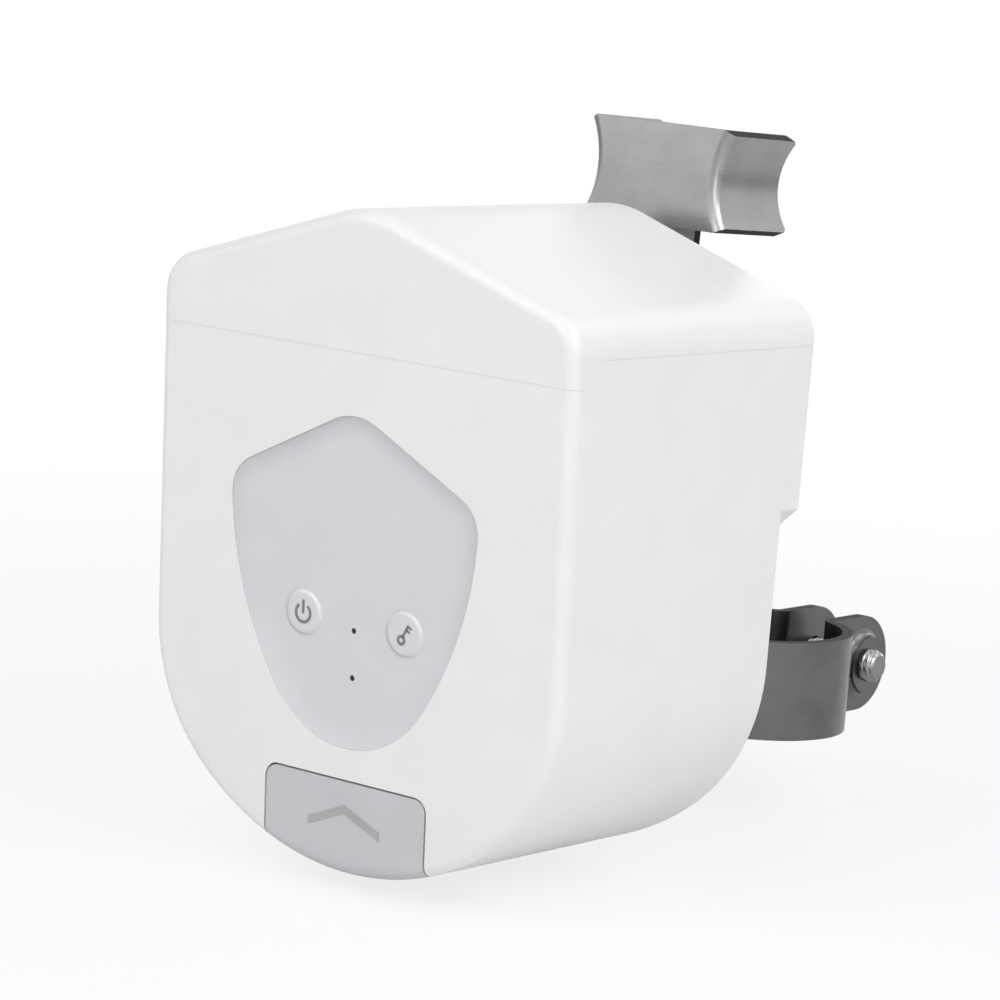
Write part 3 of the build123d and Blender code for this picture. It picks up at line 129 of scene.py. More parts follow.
# %% Helpers for materials
MOTTLE_SPAN = (0.35, 0.65)


def linear(hex_colour):
    """Linear RGBA of an sRGB hex colour such as #E8E8E8."""
    channels = [int(hex_colour[i:i + 2], 16) / 255 for i in (1, 3, 5)]
    out = [c / 12.92 if c <= 0.04045 else ((c + 0.055) / 1.055) ** 2.4 for c in channels]
    return (*out, 1.0)


def add_node(tree, kind, links=None, **settings):
    """Node of that kind; settings are attributes or input values, links are input to socket."""
    node = tree.nodes.new(kind)
    for name, value in settings.items():
        if hasattr(node, name):
            setattr(node, name, value)
        else:
            node.inputs[name.replace("_", " ")].default_value = value
    for name, socket in (links or {}).items():
        tree.links.new(socket, node.inputs[name])
    return node


def new_material(name):
    """Empty node material and its Principled shader."""
    material = bpy.data.materials.new(name)
    material.use_nodes = True
    return material, material.node_tree.nodes["Principled BSDF"]


def per_metre(size_mm):
    """Scale of a noise texture in object space whose grain is size_mm across."""
    return 1 / (size_mm * MM)


def grain(material, size_mm, detail=2.0):
    """Noise in object space with a grain of size_mm."""
    place = add_node(material.node_tree, "ShaderNodeTexCoord")
    return add_node(
        material.node_tree, "ShaderNodeTexNoise", {"Vector": place.outputs["Object"]},
        Scale=per_metre(size_mm), Detail=detail,
    )


def emboss(material, shader, height_socket, depth_mm, strength=1.0):
    """Bump of depth_mm from a height texture, on the shader."""
    bump = add_node(
        material.node_tree, "ShaderNodeBump", {"Height": height_socket},
        Distance=depth_mm * MM, Strength=strength,
    )
    material.node_tree.links.new(bump.outputs["Normal"], shader.inputs["Normal"])


def mottle(material, shader, height_socket, dark, pale, socket="Base Color"):
    """Colour that wanders between dark and pale with the texture."""
    ramp = add_node(material.node_tree, "ShaderNodeValToRGB", {"Fac": height_socket})
    for element, position, colour in zip(ramp.color_ramp.elements, MOTTLE_SPAN, (dark, pale)):
        element.position = position
        element.color = linear(colour)
    material.node_tree.links.new(ramp.outputs["Color"], shader.inputs[socket])


def roughen(material, shader, height_socket, smooth, rough):
    """Roughness that wanders between smooth and rough with the texture."""
    span = add_node(
        material.node_tree, "ShaderNodeMapRange", {"Value": height_socket},
        To_Min=smooth, To_Max=rough,
    )
    material.node_tree.links.new(span.outputs["Result"], shader.inputs["Roughness"])


def grained(name, grain_mm, dark, pale, smooth, rough, depth_mm=0.0, detail=2.0):
    """Material whose tone, gloss and bump all follow one grain, and its shader."""
    material, shader = new_material(name)
    marks = grain(material, grain_mm, detail).outputs["Fac"]
    mottle(material, shader, marks, dark, pale)
    roughen(material, shader, marks, smooth, rough)
    if depth_mm:
        emboss(material, shader, marks, depth_mm)
    return material, shader


print("grain of 1 mm has the texture scale", per_metre(1))

# %% [markdown]
# ## Moulded plastics
#
# The housing is ABS, moulded in a mould with a fine matt spark-eroded surface. Its grain is about
# 0.1 mm, too fine to show in a picture of this size, so it is drawn at 0.35 mm. ABS has an IOR of
# 1.54 and no metal in it. Its gloss wanders a little where the plastic flowed in the mould.

# %% Plastic materials
ABS_IOR = 1.54
FLOW_MM = 9.0


def moulded_plastic(name, dark, pale, smooth, rough, grain_mm=0.35, depth_mm=0.004):
    """Matt moulded plastic: two close tones, fine grain and a slightly uneven gloss."""
    material, shader = new_material(name)
    shader.inputs["IOR"].default_value = ABS_IOR
    flow = grain(material, FLOW_MM)
    mottle(material, shader, flow.outputs["Fac"], dark, pale)
    roughen(material, shader, flow.outputs["Fac"], smooth, rough)
    skin = grain(material, grain_mm)
    emboss(material, shader, skin.outputs["Fac"], depth_mm)
    return material


def paint_shade_and_highlight(material, dark, pale):
    """Mixes dark into the colour by the point attribute shade, as painted shade, and pale by a second
    point attribute, as a painted highlight.
    """
    shader = material.node_tree.nodes["Principled BSDF"]
    colour = shader.inputs["Base Color"].links[0].from_socket
    for attribute, tone in (("shade", dark), ("painted_highlight", pale)):
        amount = add_node(
            material.node_tree, "ShaderNodeAttribute", attribute_name=attribute
        )
        blend = add_node(
            material.node_tree, "ShaderNodeMixRGB",
            {"Fac": amount.outputs["Fac"], "Color1": colour}, Color2=linear(tone),
        )
        colour = blend.outputs["Color"]
    material.node_tree.links.new(colour, shader.inputs["Base Color"])


# White ABS from a spark-eroded mould looks soft and light, with one broad, weak gloss.
white_abs = moulded_plastic("white_ABS_moulded", "#EAEAEA", "#ECECEC", 0.33, 0.40)
# The panel is a cool grey ABS from a satin mould, so it stands off from the white shell.
panel_abs = moulded_plastic("panel_ABS_satin_with_painted_shade", "#D6D3D9", "#D9D6DB", 0.34, 0.42)
# The buttons are moulded in the same satin plastic, a trace paler.
button_abs = moulded_plastic("button_ABS_satin_with_painted_shade_and_highlight", "#D7D4DA", "#DAD7DC", 0.34, 0.42)
# The release button has a rougher mould for grip, so its grey is flat and matt.
rocker_abs = moulded_plastic("release_button_ABS_matt", "#C4C3C7", "#C8C7CB", 0.40, 0.48)
# The dish and the button edges are so shallow that soft lamps alone hardly show them. A slightly darker
# tone on their slopes is painted shade, and a slightly paler one is a painted highlight.
for toned in (panel_abs, button_abs):
    paint_shade_and_highlight(toned, "#A9A7AC", "#F0EEF2")
# Glass fibre near the surface leaves black nylon dull and a little coarse.
black_nylon = moulded_plastic("black_glass_filled_nylon", "#1B1B1C", "#232325", 0.45, 0.62, 0.5, 0.01)
# Uncoloured acetal is creamy and slippery, so the teeth carry small clean highlights.
gear_acetal = moulded_plastic("gear_acetal_natural", "#E6E2D4", "#ECE8DB", 0.28, 0.38, 0.8, 0.004)
# Smoked acrylic shows as a dark dot with a hard shine.
smoked = moulded_plastic("light_window_smoked_acrylic", "#1E1A1C", "#242022", 0.12, 0.2)
# Woven gauze swallows the light, so its hole is a dull black dot.
gauze = moulded_plastic("buzzer_gauze_black_polyester", "#151214", "#1F1B1D", 0.7, 0.9, 0.15, 0.02)
# Nitrile rubber is dull black with a faint bloom.
seal_rubber = moulded_plastic("seal_nitrile_rubber", "#151515", "#1C1C1C", 0.55, 0.75, 0.4, 0.01)
print("plastics made")

# %% [markdown]
# ## Steel, brass and the board
#
# Grip, band and arm are steel sheet, tumbled and zinc plated, which gives a satin grey with a cool
# tone. Rolling leaves fine lines along the strip. Screws are turned from brighter steel. Metals keep
# the default IOR, because metallic 1 takes its colour from the base colour alone.

# %% Metal materials
CLOUD_MM = 6.0


def plated_steel(
    name, dark, pale, smooth, rough, line_mm=0.25, stretch=18.0, axes=(0,), depth_mm=0.0008
):
    """Zinc-plated steel with rolling lines along the axes."""
    material, shader = new_material(name)
    shader.inputs["Metallic"].default_value = 1.0
    place = add_node(material.node_tree, "ShaderNodeTexCoord")
    scale = [1 / stretch if axis in axes else 1.0 for axis in range(3)]
    along = add_node(
        material.node_tree, "ShaderNodeMapping", {"Vector": place.outputs["Object"]}, Scale=scale
    )
    lines = add_node(
        material.node_tree, "ShaderNodeTexNoise", {"Vector": along.outputs["Vector"]},
        Scale=per_metre(line_mm), Detail=3.0,
    )
    cloud = grain(material, CLOUD_MM, 3.0)
    mottle(material, shader, cloud.outputs["Fac"], dark, pale)
    roughen(material, shader, lines.outputs["Fac"], smooth, rough)
    emboss(material, shader, lines.outputs["Fac"], depth_mm)
    return material


# Tumbled and plated sheet is a bright satin grey with faint rolling lines.
sheet_steel = plated_steel("steel_sheet_zinc_plated", "#9D9E9F", "#A4A5A6", 0.24, 0.34)
# The band is plated darker and finer, so its reflections run softly round it.
band_steel = plated_steel(
    "steel_band_zinc_plated", "#6A6B6C", "#737475", 0.24, 0.29, 0.7, axes=(0, 1), depth_mm=0.0002
)
# Small screws are barrel plated and catch bright points of light.
screw_steel = plated_steel("steel_screws_zinc_plated", "#B9BABC", "#C6C7C9", 0.18, 0.30, 0.2, 1.0)
# The bolt is plated duller, and its thread breaks up the shine.
bolt_zinc = plated_steel("steel_bolt_zinc_plated", "#8B8C8D", "#959697", 0.24, 0.34, 0.2, 1.0)
# Deep drawing stretches the motor's can and leaves lines along it.
motor_steel = plated_steel("motor_can_drawn_steel", "#9C9EA0", "#A8AAAC", 0.22, 0.34, 0.3, 10.0, (1,))
# Turned brass is warm and bright, its rings too fine to tell apart.
turned_brass = plated_steel("brass_turned", "#B8934E", "#C6A15A", 0.20, 0.32, 0.2, 1.0)
# Drawn spring wire keeps an even grey shine along its turns.
spring_steel = plated_steel("spring_steel_wire", "#8F9193", "#9B9D9F", 0.22, 0.34, 0.2, 1.0)

# A sheared edge is torn, oxidised and oily, so it is nearly black and has hardly any gloss.
sheared_edge, sheared_shader = grained(
    "steel_sheared_edge_oxidised", 0.4, "#28292A", "#3A3B3C", 0.6, 0.8, 0.004
)
sheared_shader.inputs["Specular IOR Level"].default_value = 0.1

# Solder mask is a glossy green coat, darker where no copper lies under it.
board_green, board_shader = grained(
    "circuit_board_solder_mask", 2.2, "#0F4A2A", "#17603A", 0.25, 0.40, 0.02, detail=1.0
)
board_shader.inputs["IOR"].default_value = 1.5

# Polished acrylic passes the light on and shows only at its rims.
clear_acrylic, clear_shader = new_material("light_pipe_clear_acrylic")
clear_shader.inputs["IOR"].default_value = 1.49
clear_shader.inputs["Transmission Weight"].default_value = 1.0
clear_grain = grain(clear_acrylic, 1.0)
roughen(clear_acrylic, clear_shader, clear_grain.outputs["Fac"], 0.02, 0.10)

# Pad-printed ink lies flat and dull, a mid grey on the pale button.
mark_ink = grained("printed_mark_grey_ink", 0.3, "#77777A", "#7E7E81", 0.45, 0.6)[0]
# The mark on the release button is the same matt ABS in a darker grey.
rocker_mark = moulded_plastic("release_mark_ABS_sunk", "#A7A7AA", "#ACACAF", 0.45, 0.55)
print("metals, board and inks made")

# %% [markdown]
# ## Dress the CAD nodes
#
# Each node of the frame keeps its solid and gets one of the materials above. The list goes by the
# material slot in the record, with a few nodes that differ from their slot.

# %% Dress the nodes
SLOT_MATERIALS = {
    "white_plastic": white_abs,
    "grey_plastic": rocker_abs,
    "panel_plastic": panel_abs,
    "black_plastic": black_nylon,
    "sheet_steel": sheet_steel,
    "bolt_steel": screw_steel,
    "motor_steel": motor_steel,
    "brass": turned_brass,
    "gear_nylon": gear_acetal,
    "board": board_green,
    "seal_rubber": seal_rubber,
    "clear_plastic": clear_acrylic,
}
NODE_MATERIALS = {
    "control_button": button_abs,
    "reset_button": button_abs,
    "clamp_band": band_steel,
    "mount_arm": band_steel,
}
slot_of = {entry["node"]: entry["material_slot"] for entry in frame["record"]["subparts"]}
for name, node in nodes.items():
    material = NODE_MATERIALS.get(name, SLOT_MATERIALS[slot_of[name]])
    node.data.materials.clear()
    node.data.materials.append(material)
print("dressed", len(nodes), "nodes")

# %% [markdown]
# ## Helpers for pieces
#
# A piece is a mesh made in the part's own frame, in metres. It rides on one body, so it moves when
# that body's joint does. Most pieces below are turned or extruded from a short profile.

# %% Helpers for pieces


def link_mesh(name, bm):
    """Object of a bmesh, linked to the scene. The bmesh is used up."""
    mesh = bpy.data.meshes.new(name)
    bm.to_mesh(mesh)
    bm.free()
    linked = bpy.data.objects.new(name, mesh)
    bpy.context.collection.objects.link(linked)
    return linked


def make_piece(name, bm, material, body, turn_out=True):
    """Piece from a bmesh, with its material, slot and body. turn_out faces it outward first."""
    if turn_out:
        bmesh.ops.recalc_face_normals(bm, faces=bm.faces)
    piece = link_mesh(name, bm)
    piece.data.materials.append(material)
    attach(piece, body)
    return piece


def centre(node):
    """Middle of a node's box at rest."""
    low, high = (Vector(corner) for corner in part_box(node))
    return (low + high) / 2


def frame_along(origin, axis, up=Vector((0, 0, 1))):
    """Matrix with local Z along axis, for a piece that is drawn round its own Z."""
    z = Vector(axis).normalized()
    x = up.cross(z).normalized()
    return Matrix.Translation(origin) @ Matrix((x, z.cross(x), z)).transposed().to_4x4()


def strip(bm, first, second):
    """Quads between two closed loops of as many vertices."""
    for step in range(len(first)):
        after = (step + 1) % len(first)
        bm.faces.new((first[step], first[after], second[after], second[step]))


def tube(bm, rings):
    """Quads from ring to ring, and a face over each end."""
    for lower, upper in zip(rings, rings[1:]):
        strip(bm, lower, upper)
    bm.faces.new(list(reversed(rings[0])))
    bm.faces.new(rings[-1])


def circle(middle, radius, turns=48):
    """Points of a circle, as pairs."""
    angles = [2 * math.pi * step / turns for step in range(turns)]
    return [(middle[0] + radius * math.cos(a), middle[1] + radius * math.sin(a)) for a in angles]


def lathe(profile, turns, place, shape=None):
    """Bmesh of a profile of (radius, height) turned round local Z and placed by a matrix."""
    bm = shape or bmesh.new()
    tube(bm, [
        [bm.verts.new(place @ Vector((x, y, height))) for x, y in circle((0, 0), radius, turns)]
        for radius, height in profile
    ])
    return bm


def smooth_sharp(piece, angle_deg=35):
    """Smooth shading with edges over angle_deg kept sharp."""
    limit = math.radians(angle_deg)
    mesh = piece.data
    bm = bmesh.new()
    bm.from_mesh(mesh)
    for face in bm.faces:
        face.smooth = True
    for edge in bm.edges:
        if len(edge.link_faces) != 2 or edge.calc_face_angle(0) > limit:
            edge.smooth = False
    bm.to_mesh(mesh)
    bm.free()


# %% [markdown]
# ## Sheet steel with sheared edges
#
# Band, arms and grip are pressed from sheet. Plating shines on their faces, but the sheared edges
# are rougher and look nearly black in the photo. A run of faces belongs to an edge where the metal
# behind most of it is more than twice as thick as the sheet: a ray into the metal from the middle
# of each face measures that. The pieces are the solids themselves with a second material there.

# %% Sheet pieces
SHEETS = {
    "wrench_grip": ("wrench", sheet_steel, 2.0),
    "wrench_arm": ("wrench", sheet_steel, 1.8),
    "clamp_band": ("housing", band_steel, 2.0),
    "mount_arm": ("housing", band_steel, 2.0),
}
SHEET_SLACK = 2.0
REGION_ANGLE = math.radians(30)
RAY_INSET = 0.01 * MM


def metal_behind(node, face):
    """Length of the metal behind the middle of a face, along its normal."""
    inward = -face.normal
    start = face.calc_center_median() + inward * RAY_INSET
    hit, point, normal, index = nodes[node].ray_cast(start, inward)
    return (point - start).length if hit and normal.dot(inward) > 0 else 0


def islands(items, neighbours):
    """Groups of items that are joined through their neighbours."""
    left = set(items)
    while left:
        group = []
        stack = [left.pop()]
        while stack:
            item = stack.pop()
            group.append(item)
            for other in neighbours(item):
                if other in left:
                    left.discard(other)
                    stack.append(other)
        yield group


def smooth_neighbours(face):
    """Faces that a face runs into without a sharp edge."""
    smooth = [edge for edge in face.edges if edge.calc_face_angle(math.pi) < REGION_ANGLE]
    return [other for edge in smooth for other in edge.link_faces]


for name, (body, steel, gauge) in SHEETS.items():
    sheet_mesh = bmesh.new()
    sheet_mesh.from_mesh(nodes[name].data)
    edge_count = 0
    for region in islands(sheet_mesh.faces, smooth_neighbours):
        thick = [f for f in region if metal_behind(name, f) > gauge * SHEET_SLACK * MM]
        if 2 * sum(f.calc_area() for f in thick) > sum(f.calc_area() for f in region):
            for face in region:
                face.material_index = 1
            edge_count += len(region)
    sheet = make_piece(f"{name}_sheet", sheet_mesh, steel, body, turn_out=False)
    sheet.data.materials.append(sheared_edge)
    smooth_sharp(sheet, 30)
    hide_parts(name)
    print(name, "edge faces:", edge_count, "of", len(sheet.data.polygons))

# %% [markdown]
# ## The clamp bolt with its thread
#
# The solid bolt is a plain cylinder. The real one is an M6 bolt whose thread shows where it leaves
# the collar of the ear. An M6 thread climbs 1 mm per turn and is 0.54 mm deep. The thread is a grid
# of points wound round the axis: each point's radius depends on how far along the helix it lies.

# %% Clamp bolt
bolt_low, bolt_high = (Vector(corner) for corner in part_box("clamp_bolt"))
BOLT_RADIUS = 3.0 * MM
BOLT_PITCH = 1.0 * MM
BOLT_HEAD_RADIUS = (bolt_high.z - bolt_low.z) / 2
BOLT_HEAD_HEIGHT = 6.0 * MM
BOLT_KEY = 5.0 * MM
THREAD_DEPTH = 0.54 * MM
THREAD_FLAT = 0.12
THREAD_TIP = 0.8 * MM
KEY_FLOOR_SHARE = 0.45
bolt_axis = Vector((0, (bolt_low.y + bolt_high.y) / 2, (bolt_low.z + bolt_high.z) / 2))


def thread_radius(outer, depth, height, angle, pitch):
    """Radius of a thread at that height and angle: a rounded saw wave along the helix."""
    share = (height / pitch - angle / (2 * math.pi)) % 1.0
    ridge = abs(2 * share - 1)
    return outer - depth * min(max((ridge - THREAD_FLAT) / (1 - 2 * THREAD_FLAT), 0), 1)


def threaded_rod(place, outer, depth, pitch, length, tip, around=40, per_pitch=8):
    """Bmesh of a threaded rod along local Z with a chamfered tip."""
    bm = bmesh.new()
    levels = round(length / pitch * per_pitch)
    rings = []
    for level in range(levels + 1):
        height = length * level / levels
        ring = []
        for step in range(around):
            angle = 2 * math.pi * step / around
            radius = thread_radius(outer, depth, height, angle, pitch)
            radius = min(radius, outer - max(height - (length - tip), 0))
            point = Vector((radius * math.cos(angle), radius * math.sin(angle), height))
            ring.append(bm.verts.new(place @ point))
        rings.append(ring)
    tube(bm, rings)
    return bm


def key_head(bm, place, radius, height, key, sides=6, bevel=0.5 * MM, turns=48):
    """Adds a cylinder head with a key recess to bm. Local Z points out of the head."""
    local = place.inverted()
    head = lathe(
        [(radius, 0), (radius, height - bevel), (radius - bevel, height)], turns, place, bm
    )
    near_top = [f for f in head.faces if (local @ f.calc_center_median()).z > height - bevel / 2]
    top = max(near_top, key=lambda face: len(face.verts))
    bmesh.ops.delete(head, geom=[top], context="FACES_ONLY")

    def angle_of(vert):
        """Angle of a vertex round the axis of the head."""
        spot = local @ vert.co
        return math.atan2(spot.y, spot.x)

    rim = sorted((v for v in head.verts if v.is_boundary), key=angle_of)
    corner_radius = key / 2 / math.cos(math.pi / sides)
    inner_top = []
    inner_low = []
    for angle in [angle_of(v) for v in rim]:
        within = (angle % (2 * math.pi / sides)) - math.pi / sides
        reach = corner_radius * math.cos(math.pi / sides) / math.cos(within)
        flat = Vector((reach * math.cos(angle), reach * math.sin(angle), height))
        deep = Vector((flat.x, flat.y, height * KEY_FLOOR_SHARE))
        inner_top.append(head.verts.new(place @ flat))
        inner_low.append(head.verts.new(place @ deep))
    strip(head, rim, inner_top)
    strip(head, inner_top, inner_low)
    head.faces.new(inner_low)


head_seat = bolt_low.x + BOLT_HEAD_HEIGHT
rod_place = frame_along(Vector((head_seat, bolt_axis.y, bolt_axis.z)), (1, 0, 0))
bolt_mesh = threaded_rod(
    rod_place, BOLT_RADIUS, THREAD_DEPTH, BOLT_PITCH, bolt_high.x - head_seat, THREAD_TIP
)
head_place = frame_along(Vector((head_seat, bolt_axis.y, bolt_axis.z)), (-1, 0, 0))
key_head(bolt_mesh, head_place, BOLT_HEAD_RADIUS, BOLT_HEAD_HEIGHT, BOLT_KEY)
clamp_bolt = make_piece("clamp_bolt_threaded", bolt_mesh, bolt_zinc, "clamp_bolt")
smooth_sharp(clamp_bolt, 40)
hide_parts("clamp_bolt")
print("bolt points:", len(clamp_bolt.data.vertices))

# %% [markdown]
# ## The release spring
#
# Behind the release button a small compression spring pushes the latch arm back. The solid is a
# plain tube. The real spring is wire of 0.8 mm wound in open turns with closed ends, so the piece
# is a round wire swept along a helix. It rides on the housing, where its upper end is held.

# %% Release spring
spring_low, spring_high = (Vector(corner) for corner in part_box("release_spring"))
WIRE_RADIUS = 0.4 * MM
SPRING_TURNS = 7
STEPS_PER_TURN = 20
coil_radius = (spring_high.x - spring_low.x) / 2 - WIRE_RADIUS
spring_middle = centre("release_spring")
spring_curve = bpy.data.curves.new("release_spring_wire", "CURVE")
spring_curve.dimensions = "3D"
spring_curve.bevel_depth = WIRE_RADIUS
spring_curve.bevel_resolution = 3
spring_curve.use_fill_caps = True
wire = spring_curve.splines.new("POLY")
wire.points.add(SPRING_TURNS * STEPS_PER_TURN)
for index, point in enumerate(wire.points):
    share = index / (len(wire.points) - 1)
    eased = min(max((share * SPRING_TURNS - 1) / (SPRING_TURNS - 2), 0), 1)
    climb = (spring_high.z - spring_low.z - 2 * WIRE_RADIUS) * eased
    angle = 2 * math.pi * SPRING_TURNS * share
    point.co = (
        spring_middle.x + coil_radius * math.cos(angle),
        spring_middle.y + coil_radius * math.sin(angle),
        spring_low.z + WIRE_RADIUS + climb,
        1,
    )
wire_object = bpy.data.objects.new("release_spring_wire", spring_curve)
spring_mesh = bpy.data.meshes.new_from_object(wire_object)
bpy.data.objects.remove(wire_object)
spring_piece = bpy.data.objects.new("release_spring_wound", spring_mesh)
bpy.context.collection.objects.link(spring_piece)
spring_mesh.materials.append(spring_steel)
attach(spring_piece, "housing")
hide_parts("release_spring")
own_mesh(spring_piece)
print("spring turns:", SPRING_TURNS)

# %% [markdown]
# ## Screw heads at the back
#
# The cover screws and coupling screws are pan-head and cap-head screws. In the solids their heads
# are plain discs. Here each head is turned with a rounded rim and gets its recess, a cross for the
# cover screws and a hexagon for the coupling screws. They stand for the CAD nodes.

# %% Screw heads
PAN_CROWN = ((1, 0), (1, 0.45), (0.93, 0.75), (0.75, 0.93), (0.45, 1))
HEAD_TURNS = 40
SHANK_TURNS = 20
SHANK_GAP = 0.02 * MM
WELD_DISTANCE = 1e-6
CROSS_WIDTH = 0.9 * MM
CROSS_DEPTH = 1.1 * MM
CROSS_SPAN = 1.15
COUPLING_KEY = 3.0 * MM
SCREWS = {
    "cover_screw": ("cover_screws", 2.0 * MM, 1.5 * MM),
    "coupling_screw": ("coupling_screws", 2.4 * MM, 2.0 * MM),
}


def vert_neighbours(vert):
    """Vertices at the other end of a vertex's edges."""
    return [edge.other_vert(vert) for edge in vert.link_edges]


def screw_boxes(node):
    """Boxes of the separate solids of a node, one for each screw."""
    bm = bmesh.new()
    bm.from_mesh(nodes[node].data)
    bmesh.ops.remove_doubles(bm, verts=bm.verts, dist=WELD_DISTANCE)
    boxes = []
    for island in islands(bm.verts, vert_neighbours):
        low = Vector([min(v.co[i] for v in island) for i in range(3)])
        high = Vector([max(v.co[i] for v in island) for i in range(3)])
        boxes.append((low, high))
    bm.free()
    return sorted(boxes, key=lambda box: (round(box[0].z, 4), box[0].x))


def carve(piece, cutter):
    """Cuts a closed bmesh out of a piece with an exact boolean that is applied at once."""
    tool = link_mesh("cutter", cutter)
    cut = piece.modifiers.new("cut", "BOOLEAN")
    cut.object = tool
    cut.solver = "EXACT"
    cut.use_self = True
    bpy.context.view_layer.update()
    graph = bpy.context.evaluated_depsgraph_get()
    piece.data = bpy.data.meshes.new_from_object(piece.evaluated_get(graph))
    piece.modifiers.clear()
    bpy.data.objects.remove(tool)


def cut_cross(piece, place, radius, height):
    """Cuts a cross recess into a screw head."""
    cutter = bmesh.new()
    for turn in (0, math.pi / 2):
        size = Matrix.Diagonal((radius * CROSS_SPAN, CROSS_WIDTH, CROSS_DEPTH * 2, 1))
        spin = Matrix.Rotation(turn + math.pi / 4, 4, "Z")
        lift = Matrix.Translation((0, 0, height))
        bmesh.ops.create_cube(cutter, size=1, matrix=place @ lift @ spin @ size)
    carve(piece, cutter)


for kind, (node, head_height, shank) in SCREWS.items():
    screws = []
    for index, (low, high) in enumerate(screw_boxes(node)):
        seat = Vector(((low.x + high.x) / 2, high.y - head_height, (low.z + high.z) / 2))
        place = frame_along(seat, (0, 1, 0))
        radius = (high.x - low.x) / 2
        shape = bmesh.new()
        if kind == "cover_screw":
            crown = [(radius * across, head_height * up) for across, up in PAN_CROWN]
            lathe(crown, HEAD_TURNS, place, shape)
        else:
            key_head(shape, place, radius, head_height, COUPLING_KEY)
        lathe([(shank, low.y - seat.y), (shank, -SHANK_GAP)], SHANK_TURNS, place, shape)
        screw = make_piece(f"{kind}_{index}", shape, screw_steel, "housing")
        if kind == "cover_screw":
            cut_cross(screw, place, radius, head_height)
        smooth_sharp(screw)
        screws.append(screw)
    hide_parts(node)
    print(node, len(screws))

# %% [markdown]
# ## The plane of the front face
#
# The front leans by a few degrees, so that the housing can be drawn out of its mould. Panel,
# buttons and marks all lie in this plane, and are drawn in millimetres on it.

# %% Plane of the front face
FACE_TILT = math.radians(3.9)
FACE_ORIGIN = Vector((0, -119.5, 63.5)) * MM
face_right = Vector((1, 0, 0))
face_up = Vector((0, -math.sin(FACE_TILT), math.cos(FACE_TILT)))
face_out = Vector((0, -math.cos(FACE_TILT), -math.sin(FACE_TILT)))


def face_frame(origin):
    """Matrix whose X and Y lie in the front face and whose Z points out of it."""
    axes = Matrix((face_right, face_up, face_out)).transposed()
    return Matrix.Translation(origin) @ axes.to_4x4()


FACE = face_frame(FACE_ORIGIN)
print("front leans by degrees:", round(math.degrees(FACE_TILT), 1))

# %% [markdown]
# ## The outline of the shield
#
# The panel's outline is a chain of arcs, each one tangent to the next, as a tool maker would mill
# it. That makes a parallel outline easy: every arc keeps its centre and only its radius grows or
# shrinks, and all outlines have the same number of points, so that neighbours join as a strip of
# quads.

# %% Outline of the shield
SHIELD_SHIFT = -0.4
APEX_DROP = 8.9
SHOULDER_SLOPE = math.radians(26.92)
APEX_RADIUS = 10.0
CORNER_RADIUS = 6.5
SIDE_CENTRE = Vector((-34.07, -22.89))
SIDE_RADIUS = 59.68
TIP_RADIUS = 18.4
TIP_DROP = 64.6
ARC_STEPS = (14, 14, 30, 22)
SAME_POINT = 1e-4

apex_centre = Vector((0, -APEX_DROP - APEX_RADIUS / math.cos(SHOULDER_SLOPE)))
tip_centre = Vector((0, TIP_RADIUS - TIP_DROP))
shoulder = Vector((math.cos(SHOULDER_SLOPE), -math.sin(SHOULDER_SLOPE)))
inward = Vector((-math.sin(SHOULDER_SLOPE), -math.cos(SHOULDER_SLOPE)))
corner_line = Vector((0, -APEX_DROP)) + inward * CORNER_RADIUS - SIDE_CENTRE
half_term = corner_line.dot(shoulder)
rest_term = corner_line.length_squared - (SIDE_RADIUS - CORNER_RADIUS) ** 2
corner_centre = SIDE_CENTRE + corner_line + shoulder * (
    math.sqrt(half_term ** 2 - rest_term) - half_term
)


def heading(vector):
    """Angle of a flat vector."""
    return math.atan2(vector.y, vector.x)


# Each arc begins at the bearing where the one before it ends, from straight up to straight down.
bearings = (
    math.pi / 2, math.pi / 2 - SHOULDER_SLOPE,
    heading(corner_centre - SIDE_CENTRE), heading(tip_centre - SIDE_CENTRE), -math.pi / 2,
)
SHIELD_ARCS = tuple(zip(
    (apex_centre, corner_centre, SIDE_CENTRE, tip_centre),
    (APEX_RADIUS, CORNER_RADIUS, SIDE_RADIUS, TIP_RADIUS), bearings, bearings[1:],
))


def shield(grow):
    """Points of the shield outline in mm on the face, grown outward by grow."""
    half = []
    for (middle, radius, begin, end), steps in zip(SHIELD_ARCS, ARC_STEPS):
        for step in range(steps + 1):
            angle = begin + (end - begin) * step / steps
            point = middle + (radius + grow) * Vector((math.cos(angle), math.sin(angle)))
            half.append((point.x, point.y))
    half = [half[0]] + [b for a, b in zip(half, half[1:]) if math.dist(a, b) > SAME_POINT]
    mirrored = [(-x, y) for x, y in reversed(half[1:-1])]
    return [(x + SHIELD_SHIFT, y) for x, y in half + mirrored]


def loop_at(bm, outline, depth):
    """Ring of vertices on the face at that depth, in mm, below it."""
    return [bm.verts.new(FACE @ (Vector((x, y, -depth)) * MM)) for x, y in outline]


def fill_between(bm, outer, holes):
    """Flat faces between an outer loop and the loops of its holes."""
    edges = []
    for loop in (outer, *holes):
        for a, b in zip(loop, loop[1:] + loop[:1]):
            edges.append(bm.edges.get((a, b)) or bm.edges.new((a, b)))
    bmesh.ops.triangle_fill(bm, edges=edges, use_beauty=True, use_dissolve=False)


print("shield points:", len(shield(0)), "corner centre:", [round(v, 2) for v in corner_centre])
